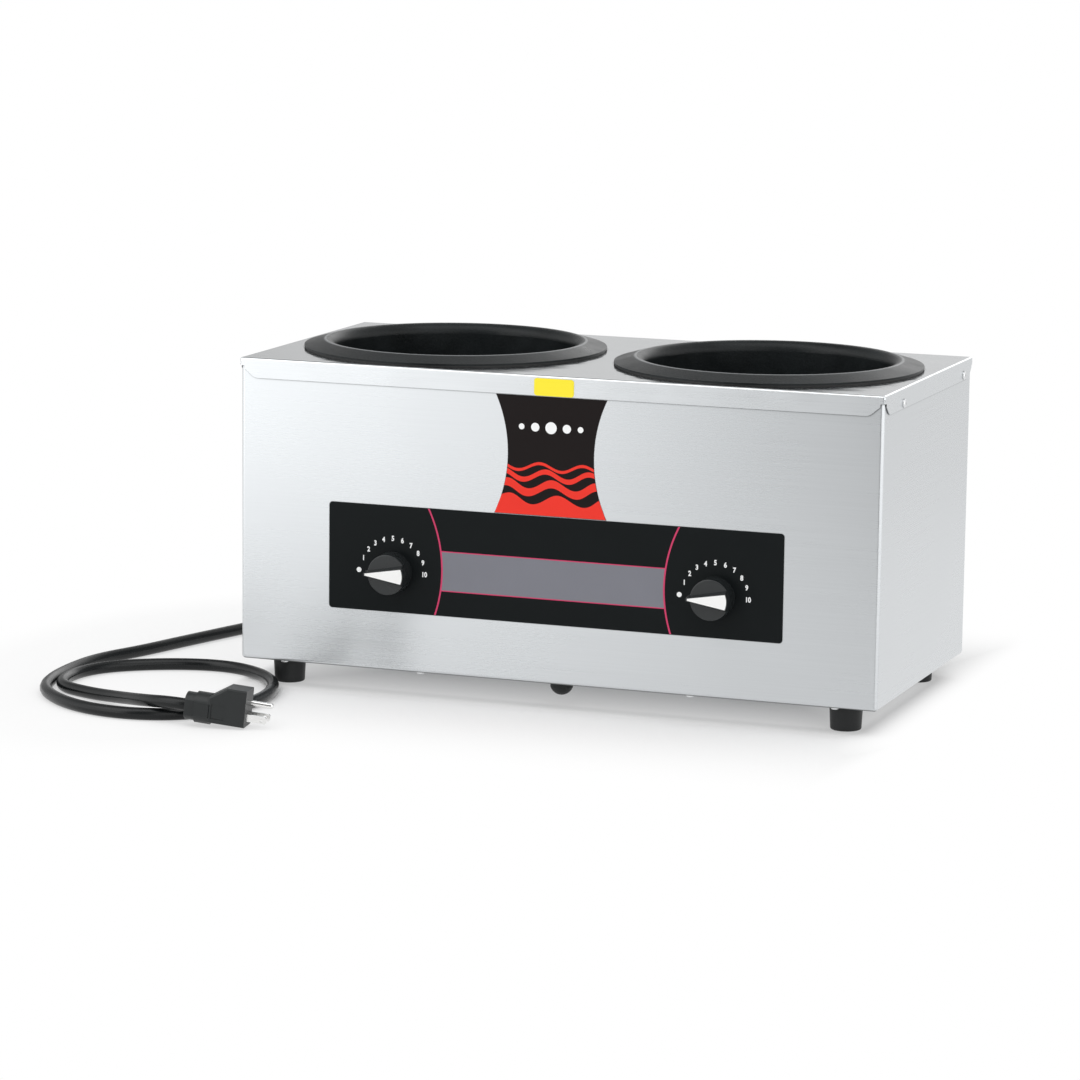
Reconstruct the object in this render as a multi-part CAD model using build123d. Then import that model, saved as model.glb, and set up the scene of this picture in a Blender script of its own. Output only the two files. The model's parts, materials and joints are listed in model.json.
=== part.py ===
from build123d import *
import os
from math import atan2, cos, degrees, pi, radians, sin, tan

# Twin-well rethermalizer: a bent stainless case with two round water wells.
# Millimetres, +Z up, +X to the object's right, front at -Y.
# The origin is on the counter, under the middle of the object without its cord.

# Case sheet metal, and the room it leaves around the wells
rim_side_margin = 10.4
rim_front_margin = 7.9
rim_rear_margin = 1.9
space_under_wells = 60.3
sheet = 1.0
bend_radius = 3.0
flange_width = 14.0
return_width = 16.0
sheet_gap = 0.1
panel_gap = 0.5
deck_seat_gap = 0.6

# Deck
deck_flange_drop = 17.6
deck_corner_cut = 15.0
deck_corner_top = 5.0
deck_corner_round = 10.0
deck_eye_radius = 1.6
deck_eye_rise = 0.4
deck_screw_drop = 13.0
deck_screw_from_front = 56.0
deck_screw_from_rear = 30.0
deck_rear_screw_spacing = 200.0

# Wells
rim_gap = 22.8
well_bore_radius = 108.5
well_wall = 1.8
well_depth = 210.0
well_floor_radius = 20.0
well_lip_radius = 9.0
well_crest_height = 8.0
well_rim_slope = 18.6
well_rim_edge = 1.6
well_rim_foot = 5.0
seal_thickness = 1.0
seal_width = 13.0
deck_hole_clearance = 3.2
clip_count = 3
clip_angle = 14.0
clip_leg = 18.0
clip_reach = 12.0
clip_thickness = 1.2

# Insulation
insulation_thickness = 17.0
insulation_gap = 0.3
insulation_below_deck = 22.0
insulation_above_floor = 70.0

# Heating elements
element_ring_radius = 70.0
element_tube_radius = 4.0
element_gap_angle = 34.0
element_bend_radius = 9.0
element_leg = 9.0
element_pin_radius = 1.6
element_pin_length = 9.0
element_seat_gap = 0.1
clamp_radius = 84.0
clamp_thickness = 1.5
clamp_slot_width = 46.0
stud_radius = 3.0
stud_length = 20.0
stud_hole_clearance = 0.3
stud_nut_flats = 10.0
stud_nut_height = 5.0

# Controls
knob_outset = 1.0
dial_below_overlay_centre = 11.7
knob_gap = 0.8
knob_base_radius = 18.4
knob_face_radius = 17.7
knob_body_height = 15.2
knob_ridge_height = 5.0
knob_skirt_wall = 2.4
knob_cavity_depth = 8.0
knob_hub_radius = 5.6
knob_bore_depth = 12.0
knob_tip_reach = 19.8
knob_tail_reach = 17.6
knob_tip_width = 2.6
knob_tail_width = 15.4
knob_ridge_flare = 2.4
pointer_margin = 0.9
pointer_thickness = 0.8
pointer_proud = 0.1
shaft_radius = 3.0
shaft_flat = 1.0
shaft_running_gap = 0.06
shaft_in_body = 14.0
knob_bore_gap = 0.02
bush_radius = 4.9
bush_hole_clearance = 0.3
bush_proud = 0.6
thermostat_width = 40.0
thermostat_depth = 22.0
thermostat_height = 40.0
thermostat_plate = 46.0
thermostat_plate_thickness = 1.5
thermostat_tab_width = 6.3
thermostat_tab_thickness = 0.8
thermostat_tab_length = 8.0
weld_stud_spacing = 30.0
weld_stud_radius = 2.0
weld_stud_length = 7.0
weld_stud_clearance = 0.3
weld_nut_flats = 7.0
weld_nut_height = 3.0
bulb_radius = 3.0
bulb_length = 54.0
bulb_angle = -58.0
bulb_seat_gap = 0.2
bulb_below_insulation = 6.0
capillary_radius = 0.9
capillary_bend = 3.5
capillary_drop = 14.0
capillary_slant = 4.0
capillary_side_reach = 16.0
capillary_low_step = 8.0
bulb_clip_width = 12.0
bulb_clip_height = 14.0
bulb_clip_depth = 8.4
bulb_clip_gap = 0.15

# Labels on the front
overlay_width = 418.4
overlay_height = 94.6
overlay_centre_height = 100.0
overlay_corner = 3.0
overlay_thickness = 0.4
decal_top_width = 101.8
decal_waist_width = 79.0
decal_bottom_width = 103.0
decal_waist_rise = 56.1
decal_gap_below = 0.6
decal_gap_above = 0.8
decal_shift = -2.6
decal_thickness = 0.25
label_width = 36.4
label_height = 15.2
label_centre_below_deck = 10.0
label_corner = 2.6
label_thickness = 0.2

# Screws with a round head
screw_head_radius = 3.6
screw_head_height = 2.0
screw_shank_radius = 1.6
screw_length = 7.0
screw_hole_clearance = 0.1
base_screw_side_inset = 39.0
base_screw_inner_place = 125.0
base_screw_inset = 8.0
rear_screw_inset = 9.0
rear_screw_end_inset = 38.0

# Base
base_gap = 0.5
vent_slot_length = 34.0
vent_slot_width = 4.0
vent_slot_pitch = 14.0
vent_slot_count = 7

# Feet and bumper
foot_height = 22.5
foot_top_radius = 14.6
foot_bottom_radius = 13.4
foot_edge_round = 1.5
foot_side_inset = 35.0
foot_end_inset = 28.0
foot_counterbore_radius = 5.6
foot_counterbore_depth = 13.0
foot_screw_head_radius = 4.4
foot_screw_head_height = 3.0
foot_screw_radius = 2.5
foot_screw_gap = 0.2
foot_nut_flats = 8.0
foot_nut_height = 4.0
bumper_radius = 10.0
bumper_straight = 8.0
bumper_clearance = 8.2
bumper_stem_radius = 3.0
bumper_stem_length = 4.0

# Electrical pieces inside
terminal_length = 62.0
terminal_depth = 24.0
terminal_height = 18.0
terminal_pole_pitch = 18.0
terminal_wall = 3.0
terminal_screw_radius = 3.4
terminal_screw_height = 2.5
terminal_place_x = 60.0
terminal_from_rear = 62.0
ground_place_x = 112.0
ground_stud_radius = 2.5
ground_stud_length = 12.0
ground_nut_flats = 8.0
ground_nut_height = 4.0
wire_radius = 1.5
wire_end_gap = 0.2
wire_bend = 5.0
wire_turn_back = 84.0
wire_level_step = 6.0
wire_block_lead = 22.0
wire_block_fall = 28.0
wire_pin_lead = 30.0
lead_radius = 1.4
lead_bend = 3.0
lead_pitch = 3.0

# Power cord
cord_diameter = 11.0
cord_exit_x = 60.0
cord_exit_height = 60.0
relief_flange_radius = 12.5
relief_flange_thickness = 3.0
relief_base_radius = 9.6
relief_tip_radius = 7.1
relief_length = 36.0
relief_groove_count = 5
relief_groove_start = 8.0
relief_groove_pitch = 5.0
relief_groove_width = 1.8
relief_groove_depth = 0.9
relief_neck_radius = 8.6
relief_neck_gap = 0.2
relief_thread_length = 9.0
relief_nut_flats = 25.0
relief_nut_height = 4.0

# Plug
plug_heading = 8.7
plug_dip = 6.0
plug_collar_length = 9.0
plug_collar_height = 24.0
plug_collar_width = 20.0
plug_grip_length = 13.0
plug_grip_height = 27.0
plug_grip_width = 25.0
plug_waist_rise = 12.0
plug_waist_drop = 10.0
plug_flare_length = 14.0
plug_body_length = 32.0
plug_body_rise = 22.0
plug_body_drop = 10.0
plug_body_width = 24.0
plug_edge_round = 2.0
plug_recess_depth = 0.7
plug_recess_rise = 7.0
plug_recess_drop = 6.0
plug_recess_start = 2.0
blade_width = 6.35
blade_thickness = 1.5
blade_length = 18.0
blade_spacing = 12.7
blade_drop = 1.5
blade_hole_radius = 1.6
blade_hole_from_tip = 4.5
blade_depth = 9.0
ground_pin_radius = 2.4
ground_pin_length = 21.4
ground_pin_offset = 11.9

# Cord centre line from the strain relief to the plug, around the case centre,
# as x, y and height above the counter. Its first point and its last two are worked out below.
cord_points = (
    (60.0, 214.0, 60.0),
    (56.0, 246.0, 49.0),
    (34.0, 270.0, 29.0),
    (-6.0, 280.0, 13.0),
    (-52.0, 270.0, 6.0),
    (-106.0, 255.0, 5.5),
    (-169.0, 234.0, 5.5),
    (-237.0, 224.0, 5.5),
    (-300.0, 202.0, 5.5),
    (-347.0, 158.0, 5.5),
    (-374.0, 98.0, 5.5),
    (-392.0, 42.0, 5.5),
    (-411.0, -19.0, 5.5),
    (-426.0, -71.0, 5.5),
    (-446.0, -120.0, 5.5),
    (-449.0, -173.0, 5.5),
    (-443.0, -228.0, 5.5),
    (-424.0, -271.0, 5.5),
    (-379.0, -311.0, 5.5),
    (-327.0, -326.0, 5.5),
    (-278.0, -313.0, 5.5),
    (-246.0, -273.0, 5.5),
    (-237.0, -222.0, 5.5),
    (-249.0, -167.0, 5.5),
    (-278.0, -126.0, 5.5),
    (-322.0, -102.0, 5.5),
    (-372.0, -111.0, 5.5),
    (-422.0, -145.0, 5.5),
    (-438.0, -188.0, 5.5),
    (-427.0, -240.0, 5.5),
    (-386.0, -260.0, 5.5),
    (-348.0, -279.0, 8.5),
    (-305.0, -313.7, 16.0),
)
plug_neck_x = -263.6
plug_neck_y = -321.7
plug_neck_height = 17.3
plug_lead_in = 14.0

# Worked-out sizes
well_rim_radius = well_bore_radius + well_lip_radius + well_rim_slope
well_spacing = 2 * well_rim_radius + rim_gap
knob_spacing = well_spacing + 2 * knob_outset
case_width = well_spacing + 2 * (well_rim_radius + rim_side_margin)
case_depth = 2 * well_rim_radius + rim_front_margin + rim_rear_margin
case_height = well_depth + space_under_wells
insulation_height = well_depth - insulation_below_deck - insulation_above_floor
foot_spacing_x = case_width - 2 * foot_side_inset
foot_spacing_y = case_depth - 2 * foot_end_inset

# Worked-out places
overlay_front_reach = overlay_thickness + knob_gap + knob_body_height + knob_ridge_height
front_reach = case_depth / 2 + overlay_front_reach + pointer_proud
rear_reach = case_depth / 2 + sheet_gap + sheet + screw_head_height
case_y = (front_reach - rear_reach) / 2
half_width = case_width / 2
front_y = case_y - case_depth / 2
rear_y = case_y + case_depth / 2
case_z = foot_height
deck_top = case_z + case_height
deck_under = deck_top - sheet
deck_half_width = half_width + sheet_gap + sheet
deck_front_y = front_y - sheet_gap - sheet
deck_rear_y = rear_y + sheet_gap + sheet
well_y = case_y + (rim_front_margin - rim_rear_margin) / 2
well_outer_radius = well_bore_radius + well_wall
well_floor_z = deck_top - well_depth
well_under_z = well_floor_z - well_wall
crest_radius = well_bore_radius + well_lip_radius
deck_hole_radius = well_outer_radius + deck_hole_clearance
base_z = case_z + sheet
base_top = base_z + sheet
dial_z = case_z + overlay_centre_height - dial_below_overlay_centre
overlay_y = front_y - overlay_thickness
knob_back_y = overlay_y - knob_gap
element_z = well_under_z - element_seat_gap - element_tube_radius
clamp_top = element_z - element_tube_radius
foot_y_front = case_y - foot_spacing_y / 2
foot_y_rear = case_y + foot_spacing_y / 2
terminal_y = rear_y - terminal_from_rear
relief_y = rear_y + relief_flange_thickness
cord_start_y = relief_y + relief_length
sides = {"left": -1, "right": 1}


def block(x0, x1, y0, y1, z0, z1):
    size = (x1 - x0, y1 - y0, z1 - z0)
    return Pos((x0 + x1) / 2, (y0 + y1) / 2, (z0 + z1) / 2) * Box(*size)


def drum(radius, x, y, z0, z1):
    return Pos(x, y, (z0 + z1) / 2) * Cylinder(radius, z1 - z0)


def rod_y(radius, x, z, y0, y1):
    return Pos(x, (y0 + y1) / 2, z) * Rot(90, 0, 0) * Cylinder(radius, y1 - y0)


def rod_x(radius, y, z, x0, x1):
    return Pos((x0 + x1) / 2, y, z) * Rot(0, 90, 0) * Cylinder(radius, x1 - x0)


def polygon(points):
    return make_face(Polyline(*points, close=True))


def prism_y(points, y0, y1):
    """Prism of an outline in x and z, from y0 back to y1."""
    return Pos(0, y1, 0) * Rot(90, 0, 0) * extrude(polygon(points), y1 - y0)


def prism_x(points, x0, x1):
    """Prism of an outline in y and z, from x0 to x1."""
    return Pos(x0, 0, 0) * Rot(0, 90, 90) * extrude(polygon(points), x1 - x0)


def hex_nut(flats, height, hole_radius):
    outline = extrude(RegularPolygon(flats / 2, 6, major_radius=False), height)
    return outline - Pos(0, 0, height / 2) * Cylinder(hole_radius, height)


def round_screw():
    """Truss-head screw along +Z, its seat at z = 0 and its head below it."""
    head = Cylinder(screw_head_radius, screw_head_height, align=(Align.CENTER, Align.CENTER, Align.MAX))
    rim = head.edges().sort_by(Axis.Z)[0]
    head = fillet(rim, screw_head_height * 0.7)
    shank = Cylinder(screw_shank_radius, screw_length, align=(Align.CENTER, Align.CENTER, Align.MIN))
    slot_length = screw_head_radius * 0.9
    cross = Box(slot_length, 0.8, 1.0) + Box(0.8, slot_length, 1.0)
    return head + shank - Pos(0, 0, -screw_head_height) * cross


def folded_tray(width, depth, height, radius):
    """Closed box with rounded upright edges and a rounded bottom, its base at z = 0."""
    body = extrude(RectangleRounded(width, depth, radius), height)
    bottom = body.edges().group_by(Axis.Z)[0]
    return fillet(bottom, radius)


def turn_radii(points):
    """Arc radius at each inner point: 0.45 of the shorter run over the tangent of half the turn."""
    radii = []
    spots = [Vector(*p) for p in points]
    for before, here, after in zip(spots, spots[1:], spots[2:]):
        run_in = here - before
        run_out = after - here
        half_turn = radians(run_in.get_angle(run_out)) / 2
        radii.append(0.45 * min(run_in.length, run_out.length) / tan(half_turn))
    return radii


def tube(points, radius):
    """Tube along straight runs joined by tangent arcs."""
    path = FilletPolyline(*points, radius=turn_radii(points))
    start = Plane(origin=path @ 0, z_dir=path % 0)
    return sweep(start * Circle(radius), path=path)


def wire_tube(points, bend, radius):
    """Tube of a thin wire with one bend radius at every corner."""
    path = FilletPolyline(*points, radius=bend)
    start = Plane(origin=path @ 0, z_dir=path % 0)
    return sweep(start * Circle(radius), path=path)


def side_screw_spots():
    """Places of the deck's side screws: side sign and y."""
    ys = (front_y + deck_screw_from_front, rear_y - deck_screw_from_rear)
    return [(side, y) for side in (-1, 1) for y in ys]


def base_screw_spots():
    outer = half_width - base_screw_side_inset
    xs = (-outer, -base_screw_inner_place, base_screw_inner_place, outer)
    ys = (front_y + base_screw_inset, rear_y - base_screw_inset)
    return [(x, y) for x in xs for y in ys]


def rear_screw_spots():
    """Places of the rear screws, x and z: up both edges."""
    x = half_width - rear_screw_inset
    heights = (rear_screw_end_inset, case_height / 2, case_height - rear_screw_end_inset)
    return [(side * x, case_z + z) for side in (-1, 1) for z in heights]


def deck_rear_screw_spots():
    z = deck_top - deck_screw_drop
    return [(n * deck_rear_screw_spacing, z) for n in (-1, 0, 1)]


def weld_stud_spots(side):
    x = side * knob_spacing / 2
    return [(x + n * weld_stud_spacing / 2, dial_z) for n in (-1, 1)]


def foot_spots():
    xs = {"left": -foot_spacing_x / 2, "right": foot_spacing_x / 2}
    ys = {"front": foot_y_front, "rear": foot_y_rear}
    return {f"{yn}_{xn}": (x, y) for yn, y in ys.items() for xn, x in xs.items()}


def make_case_wrap():
    height = deck_under - deck_seat_gap - case_z
    wrap_rear_y = rear_y - sheet
    depth = wrap_rear_y - front_y
    mid_y = (front_y + wrap_rear_y) / 2
    outer = Pos(0, mid_y, case_z) * folded_tray(case_width, depth, height, bend_radius)
    inner_size = (case_width - 2 * sheet, depth - 2 * sheet, height, bend_radius - sheet)
    wrap = outer - Pos(0, mid_y, base_z) * folded_tray(*inner_size)
    window = half_width - flange_width
    wrap -= block(-window, window, front_y + flange_width, rear_y, case_z - 1, base_z + bend_radius)
    rear_window = half_width - return_width
    wrap -= block(-rear_window, rear_window, rear_y - flange_width, rear_y, case_z - 1, deck_top)
    hole = screw_shank_radius + screw_hole_clearance
    for x, y in base_screw_spots():
        if y < case_y or abs(x) > window:
            wrap -= drum(hole, x, y, case_z - 1, base_z + 1)
    for side, y in side_screw_spots():
        x0 = min(side * (half_width - 5), side * (half_width + 1))
        wrap -= rod_x(hole, y, deck_top - deck_screw_drop, x0, x0 + 6)
    for x, z in rear_screw_spots():
        wrap -= rod_y(hole, x, z, rear_y - 5, rear_y + 1)
    for side in sides.values():
        x = side * knob_spacing / 2
        wrap -= rod_y(bush_radius + bush_hole_clearance, x, dial_z, front_y - 1, front_y + 4)
        for sx, sz in weld_stud_spots(side):
            wrap += rod_y(weld_stud_radius, sx, sz, front_y + sheet / 2, front_y + sheet + weld_stud_length)
    return wrap


def flange_corners(deck):
    """Edges through the sheet where a flange's lower edge meets its corner cut."""
    low = deck_top - deck_flange_drop
    edges = [edge for edge in deck.edges() if edge.length < 2 * sheet]
    edges = [edge for edge in edges if abs(edge.center().Z - low) < sheet / 4]
    return [edge for edge in edges if abs((edge % 0.5).Z) < 0.1]


def make_top_deck():
    width = 2 * deck_half_width
    depth = deck_rear_y - deck_front_y
    corner_bend = bend_radius - sheet
    outer = Rot(180, 0, 0) * folded_tray(width, depth, deck_flange_drop, corner_bend)
    inner_size = (width - 2 * sheet, depth - 2 * sheet, deck_flange_drop, corner_bend - sheet)
    inner = Rot(180, 0, 0) * folded_tray(*inner_size)
    deck = Pos(0, case_y, deck_top) * outer - Pos(0, case_y, deck_under) * inner
    low = deck_top - deck_flange_drop - 1
    high = deck_top - deck_corner_top
    for side in (-1, 1):
        x_edge = side * (deck_half_width + 1)
        x_in = side * (deck_half_width - deck_corner_cut)
        for y_face, inward in ((deck_front_y, 1), (deck_rear_y, -1)):
            y0, y1 = sorted((y_face - inward, y_face + inward * (sheet + sheet_gap)))
            deck -= prism_y([(x_edge, high), (x_in, low), (x_edge, low)], y0, y1)
            y_in = y_face + inward * deck_corner_cut
            x0, x1 = sorted((x_edge, side * half_width))
            deck -= prism_x([(y_face - inward, high), (y_in, low), (y_face - inward, low)], x0, x1)
            corner = (x_edge - side * bend_radius, y_face + inward * corner_bend)
            deck -= drum(bend_radius, *corner, low, high - corner_bend)
            deck -= Pos(side * deck_half_width, y_face, high + deck_eye_rise) * Sphere(deck_eye_radius)
    deck = fillet(flange_corners(deck), deck_corner_round)
    for side in sides.values():
        deck -= drum(deck_hole_radius, side * well_spacing / 2, well_y, deck_under - 1, deck_top + 1)
    hole = screw_shank_radius + screw_hole_clearance
    for side, y in side_screw_spots():
        x0 = min(side * (half_width - 1), side * (half_width + 5))
        deck -= rod_x(hole, y, deck_top - deck_screw_drop, x0, x0 + 6)
    for x, z in deck_rear_screw_spots():
        deck -= rod_y(hole, x, z, rear_y - 1, rear_y + 5)
    return deck


def make_rear_panel():
    x = half_width - bend_radius - panel_gap
    top = deck_under - deck_seat_gap
    flange_x = half_width - flange_width - panel_gap
    panel = block(-x, x, rear_y - sheet, rear_y, case_z, top)
    panel += block(-flange_x, flange_x, rear_y - flange_width, rear_y, case_z, base_z)
    hole = screw_shank_radius + screw_hole_clearance
    for sx, sz in rear_screw_spots() + deck_rear_screw_spots():
        panel -= rod_y(hole, sx, sz, rear_y - 3, rear_y + 1)
    for sx, sy in base_screw_spots():
        if sy > case_y and abs(sx) < flange_x:
            panel -= drum(hole, sx, sy, case_z - 1, base_z + 1)
    neck = relief_neck_radius + relief_neck_gap
    return panel - rod_y(neck, cord_exit_x, cord_exit_height, rear_y - 3, rear_y + 1)


def make_base_pan():
    x = half_width - bend_radius - base_gap
    y0 = front_y + bend_radius + base_gap
    y1 = rear_y - sheet - bend_radius - base_gap
    pan = block(-x, x, y0, y1, base_z, base_top)
    hole = screw_shank_radius + screw_hole_clearance
    for sx, sy in base_screw_spots():
        pan -= drum(hole, sx, sy, base_z - 1, base_top + 1)
    for fx, fy in foot_spots().values():
        pan -= drum(foot_screw_radius + foot_screw_gap, fx, fy, base_z - 1, base_top + 1)
    pan -= drum(bumper_stem_radius + foot_screw_gap, 0, foot_y_front, base_z - 1, base_top + 1)
    first = -(vent_slot_count - 1) / 2
    slot = extrude(SlotOverall(vent_slot_length, vent_slot_width), 4 * sheet)
    for side in sides.values():
        for n in range(vent_slot_count):
            y = case_y + (first + n) * vent_slot_pitch
            pan -= Pos(side * well_spacing / 2, y, base_z - sheet) * slot
    return pan


def well_profile():
    """Half section of a well about its axis: radius and height above the deck."""
    crest = well_crest_height
    lip_z = crest - well_lip_radius
    inner_lip = well_lip_radius - well_wall
    rim = well_rim_radius
    foot_top = seal_thickness + well_rim_edge
    slope = (crest - foot_top) / (rim - crest_radius)
    foot_in = rim - well_rim_foot
    under_crest = crest - well_wall
    under_foot = under_crest - (foot_in - crest_radius) * slope
    bend = sin(pi / 4)
    floor = -well_depth
    corner = well_floor_radius
    centre_r = well_bore_radius - corner
    centre_z = floor + corner
    outer_corner = corner + well_wall
    lip_mid = (crest_radius - well_lip_radius * bend, lip_z + well_lip_radius * bend)
    under_mid = (crest_radius - inner_lip * bend, lip_z + inner_lip * bend)
    floor_mid = (centre_r + corner * bend, centre_z - corner * bend)
    outer_mid = (centre_r + outer_corner * bend, centre_z - outer_corner * bend)
    lines = [
        Line((rim, seal_thickness), (rim, foot_top)),
        Line((rim, foot_top), (crest_radius, crest)),
        ThreePointArc((crest_radius, crest), lip_mid, (well_bore_radius, lip_z)),
        Line((well_bore_radius, lip_z), (well_bore_radius, centre_z)),
        ThreePointArc((well_bore_radius, centre_z), floor_mid, (centre_r, floor)),
        Line((centre_r, floor), (0, floor)),
        Line((0, floor), (0, floor - well_wall)),
        Line((0, floor - well_wall), (centre_r, floor - well_wall)),
        ThreePointArc((centre_r, floor - well_wall), outer_mid, (well_outer_radius, centre_z)),
        Line((well_outer_radius, centre_z), (well_outer_radius, lip_z)),
        ThreePointArc((well_outer_radius, lip_z), under_mid, (crest_radius, under_crest)),
        Line((crest_radius, under_crest), (foot_in, under_foot)),
        Line((foot_in, under_foot), (foot_in, seal_thickness)),
        Line((foot_in, seal_thickness), (rim, seal_thickness)),
    ]
    return make_face(Curve() + lines)


def make_well():
    """Well about the Z axis, its deck plane at z = 0, with its clamp stud underneath."""
    shell = revolve(Rot(90, 0, 0) * well_profile(), Axis.Z)
    stud_top = -well_depth - well_wall / 2
    return shell + drum(stud_radius, 0, 0, -well_depth - well_wall - stud_length, stud_top)


def make_seal():
    ring = drum(well_rim_radius - 0.6, 0, 0, 0, seal_thickness)
    return ring - drum(well_rim_radius - seal_width, 0, 0, -1, seal_thickness + 1)


def make_clips():
    """Three small angle clips welded to the well wall, bearing up on the deck's underside."""
    r0 = well_outer_radius
    top = -sheet
    leg = polygon([
        (r0, top - clip_leg),
        (r0 + clip_thickness, top - clip_leg),
        (r0 + clip_thickness, top - clip_thickness),
        (r0 + clip_reach, top - clip_thickness),
        (r0 + clip_reach, top),
        (r0, top),
    ])
    clip = revolve(Rot(90, 0, 0) * leg, Axis.Z, clip_angle)
    return [Rot(0, 0, 30 + n * 360 / clip_count) * clip for n in range(clip_count)]


def make_insulation():
    r0 = well_outer_radius + insulation_gap
    r1 = r0 + insulation_thickness
    top = -insulation_below_deck
    ring = drum(r1, 0, 0, top - insulation_height, top)
    return ring - drum(r0, 0, 0, top - insulation_height - 1, top + 1)


def make_element():
    """Tubular ring element with two legs turned down at the front, about the well's axis."""
    ring = element_ring_radius
    bend = element_bend_radius
    z = element_z - deck_top
    start = -90 + element_gap_angle / 2
    span = 360 - element_gap_angle
    loop = Pos(0, 0, z) * CenterArc((0, 0), ring, start, span)
    ends = []
    for at, sign in ((start, -1), (start + span, 1)):
        spot = Vector(ring * cos(radians(at)), ring * sin(radians(at)), z)
        ahead = Vector(-sin(radians(at)), cos(radians(at)), 0) * sign
        down = Vector(0, 0, -1)
        middle = spot + ahead * (bend * sin(pi / 4)) + down * (bend * (1 - cos(pi / 4)))
        turned = spot + ahead * bend + down * bend
        ends.append((ThreePointArc(spot, middle, turned), Line(turned, turned + down * element_leg), turned))
    first_arc, first_leg, first_turn = ends[0]
    last_arc, last_leg, last_turn = ends[1]
    path = Wire([first_leg.edge(), first_arc.edge(), loop.edge(), last_arc.edge(), last_leg.edge()])
    start_plane = Plane(origin=path @ 0, z_dir=path % 0)
    element = sweep(start_plane * Circle(element_tube_radius), path=path)
    for turned in (first_turn, last_turn):
        pin_top = turned.Z - element_leg + 1
        pin_end = turned.Z - element_leg - element_pin_length
        element += drum(element_pin_radius, turned.X, turned.Y, pin_end, pin_top)
    return element


def element_pin_spots(side):
    """The two pin ends of one element: x, y and the lowest z."""
    at = radians(-90 + element_gap_angle / 2)
    ring_x = element_ring_radius * cos(at) - element_bend_radius * -sin(at)
    ring_y = element_ring_radius * sin(at) - element_bend_radius * cos(at)
    low = element_z - element_bend_radius - element_leg - element_pin_length
    centre = side * well_spacing / 2
    return [(centre + n * ring_x, well_y + ring_y, low) for n in (-1, 1)]


def make_clamp():
    z = clamp_top - deck_top
    plate = drum(clamp_radius, 0, 0, z - clamp_thickness, z)
    plate -= drum(stud_radius + stud_hole_clearance, 0, 0, z - 5, z + 1)
    half = clamp_slot_width / 2
    inner = element_ring_radius - element_bend_radius - 2 * element_tube_radius
    return plate - block(-half, half, -clamp_radius - 1, -inner, z - 5, z + 1)


def make_thermostat(side):
    x = side * knob_spacing / 2
    inner_y = front_y + sheet
    plate_y = inner_y + thermostat_plate_thickness
    half = thermostat_plate / 2
    plate = block(x - half, x + half, inner_y, plate_y, dial_z - half, dial_z + half)
    for sx, sz in weld_stud_spots(side):
        plate -= rod_y(weld_stud_radius + weld_stud_clearance, sx, sz, inner_y - 1, plate_y + 1)
    hw = thermostat_width / 2
    hh = thermostat_height / 2
    back_y = plate_y + thermostat_depth
    body = block(x - hw, x + hw, plate_y, back_y, dial_z - hh, dial_z + hh)
    nut_room = weld_nut_flats * 0.75
    for sx, sz in weld_stud_spots(side):
        body -= block(sx - nut_room, sx + nut_room, plate_y, plate_y + 9, sz - nut_room, sz + nut_room)
    bush = rod_y(bush_radius, x, dial_z, overlay_y - bush_proud, inner_y)
    tab_x = thermostat_tab_width / 2
    tab_y = plate_y + thermostat_depth * 0.7
    low = dial_z - hh - thermostat_tab_length
    tabs = [
        block(x + n * hw / 2 - tab_x, x + n * hw / 2 + tab_x, tab_y, tab_y + thermostat_tab_thickness,
              low, dial_z - hh)
        for n in (-1, 1)
    ]
    whole = plate + body + bush + tabs
    bore = rod_y(shaft_radius + shaft_running_gap, x, dial_z, overlay_y - bush_proud - 1,
                 plate_y + shaft_in_body)
    return whole - bore


def thermostat_tab_spots(side):
    """Lower ends of the two terminal tabs of one thermostat: x, y and z."""
    x = side * knob_spacing / 2
    y = front_y + sheet + thermostat_plate_thickness + thermostat_depth * 0.7
    y += thermostat_tab_thickness / 2
    z = dial_z - thermostat_height / 2 - thermostat_tab_length
    return [(x + n * thermostat_width / 4, y, z) for n in (-1, 1)]


def make_shaft(side):
    x = side * knob_spacing / 2
    inner_end = front_y + sheet + thermostat_plate_thickness + shaft_in_body - wire_end_gap
    outer_end = knob_back_y - knob_bore_depth
    shaft = rod_y(shaft_radius, x, dial_z, outer_end, inner_end)
    flat = shaft_radius - shaft_flat
    reach = shaft_radius + 1
    return shaft - block(x - reach, x + reach, outer_end - 1, knob_back_y, dial_z + flat, dial_z + reach)


def pointer_outline(tip, tail, tip_width, tail_width):
    return [
        (-tip, -tip_width / 2),
        (tail, -tail_width / 2),
        (tail, tail_width / 2),
        (-tip, tip_width / 2),
    ]


def outline_face(points, height):
    return Pos(0, 0, height) * polygon(points)


def round_tail(piece, radius, height):
    """Cuts the wide end of a pointer shape to an arc about the knob's axis."""
    keep = Cylinder(radius, height)
    keep += Pos(-knob_tip_reach, 0, 0) * Box(2 * knob_tip_reach, 3 * knob_tip_reach, height)
    return piece & keep


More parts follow.
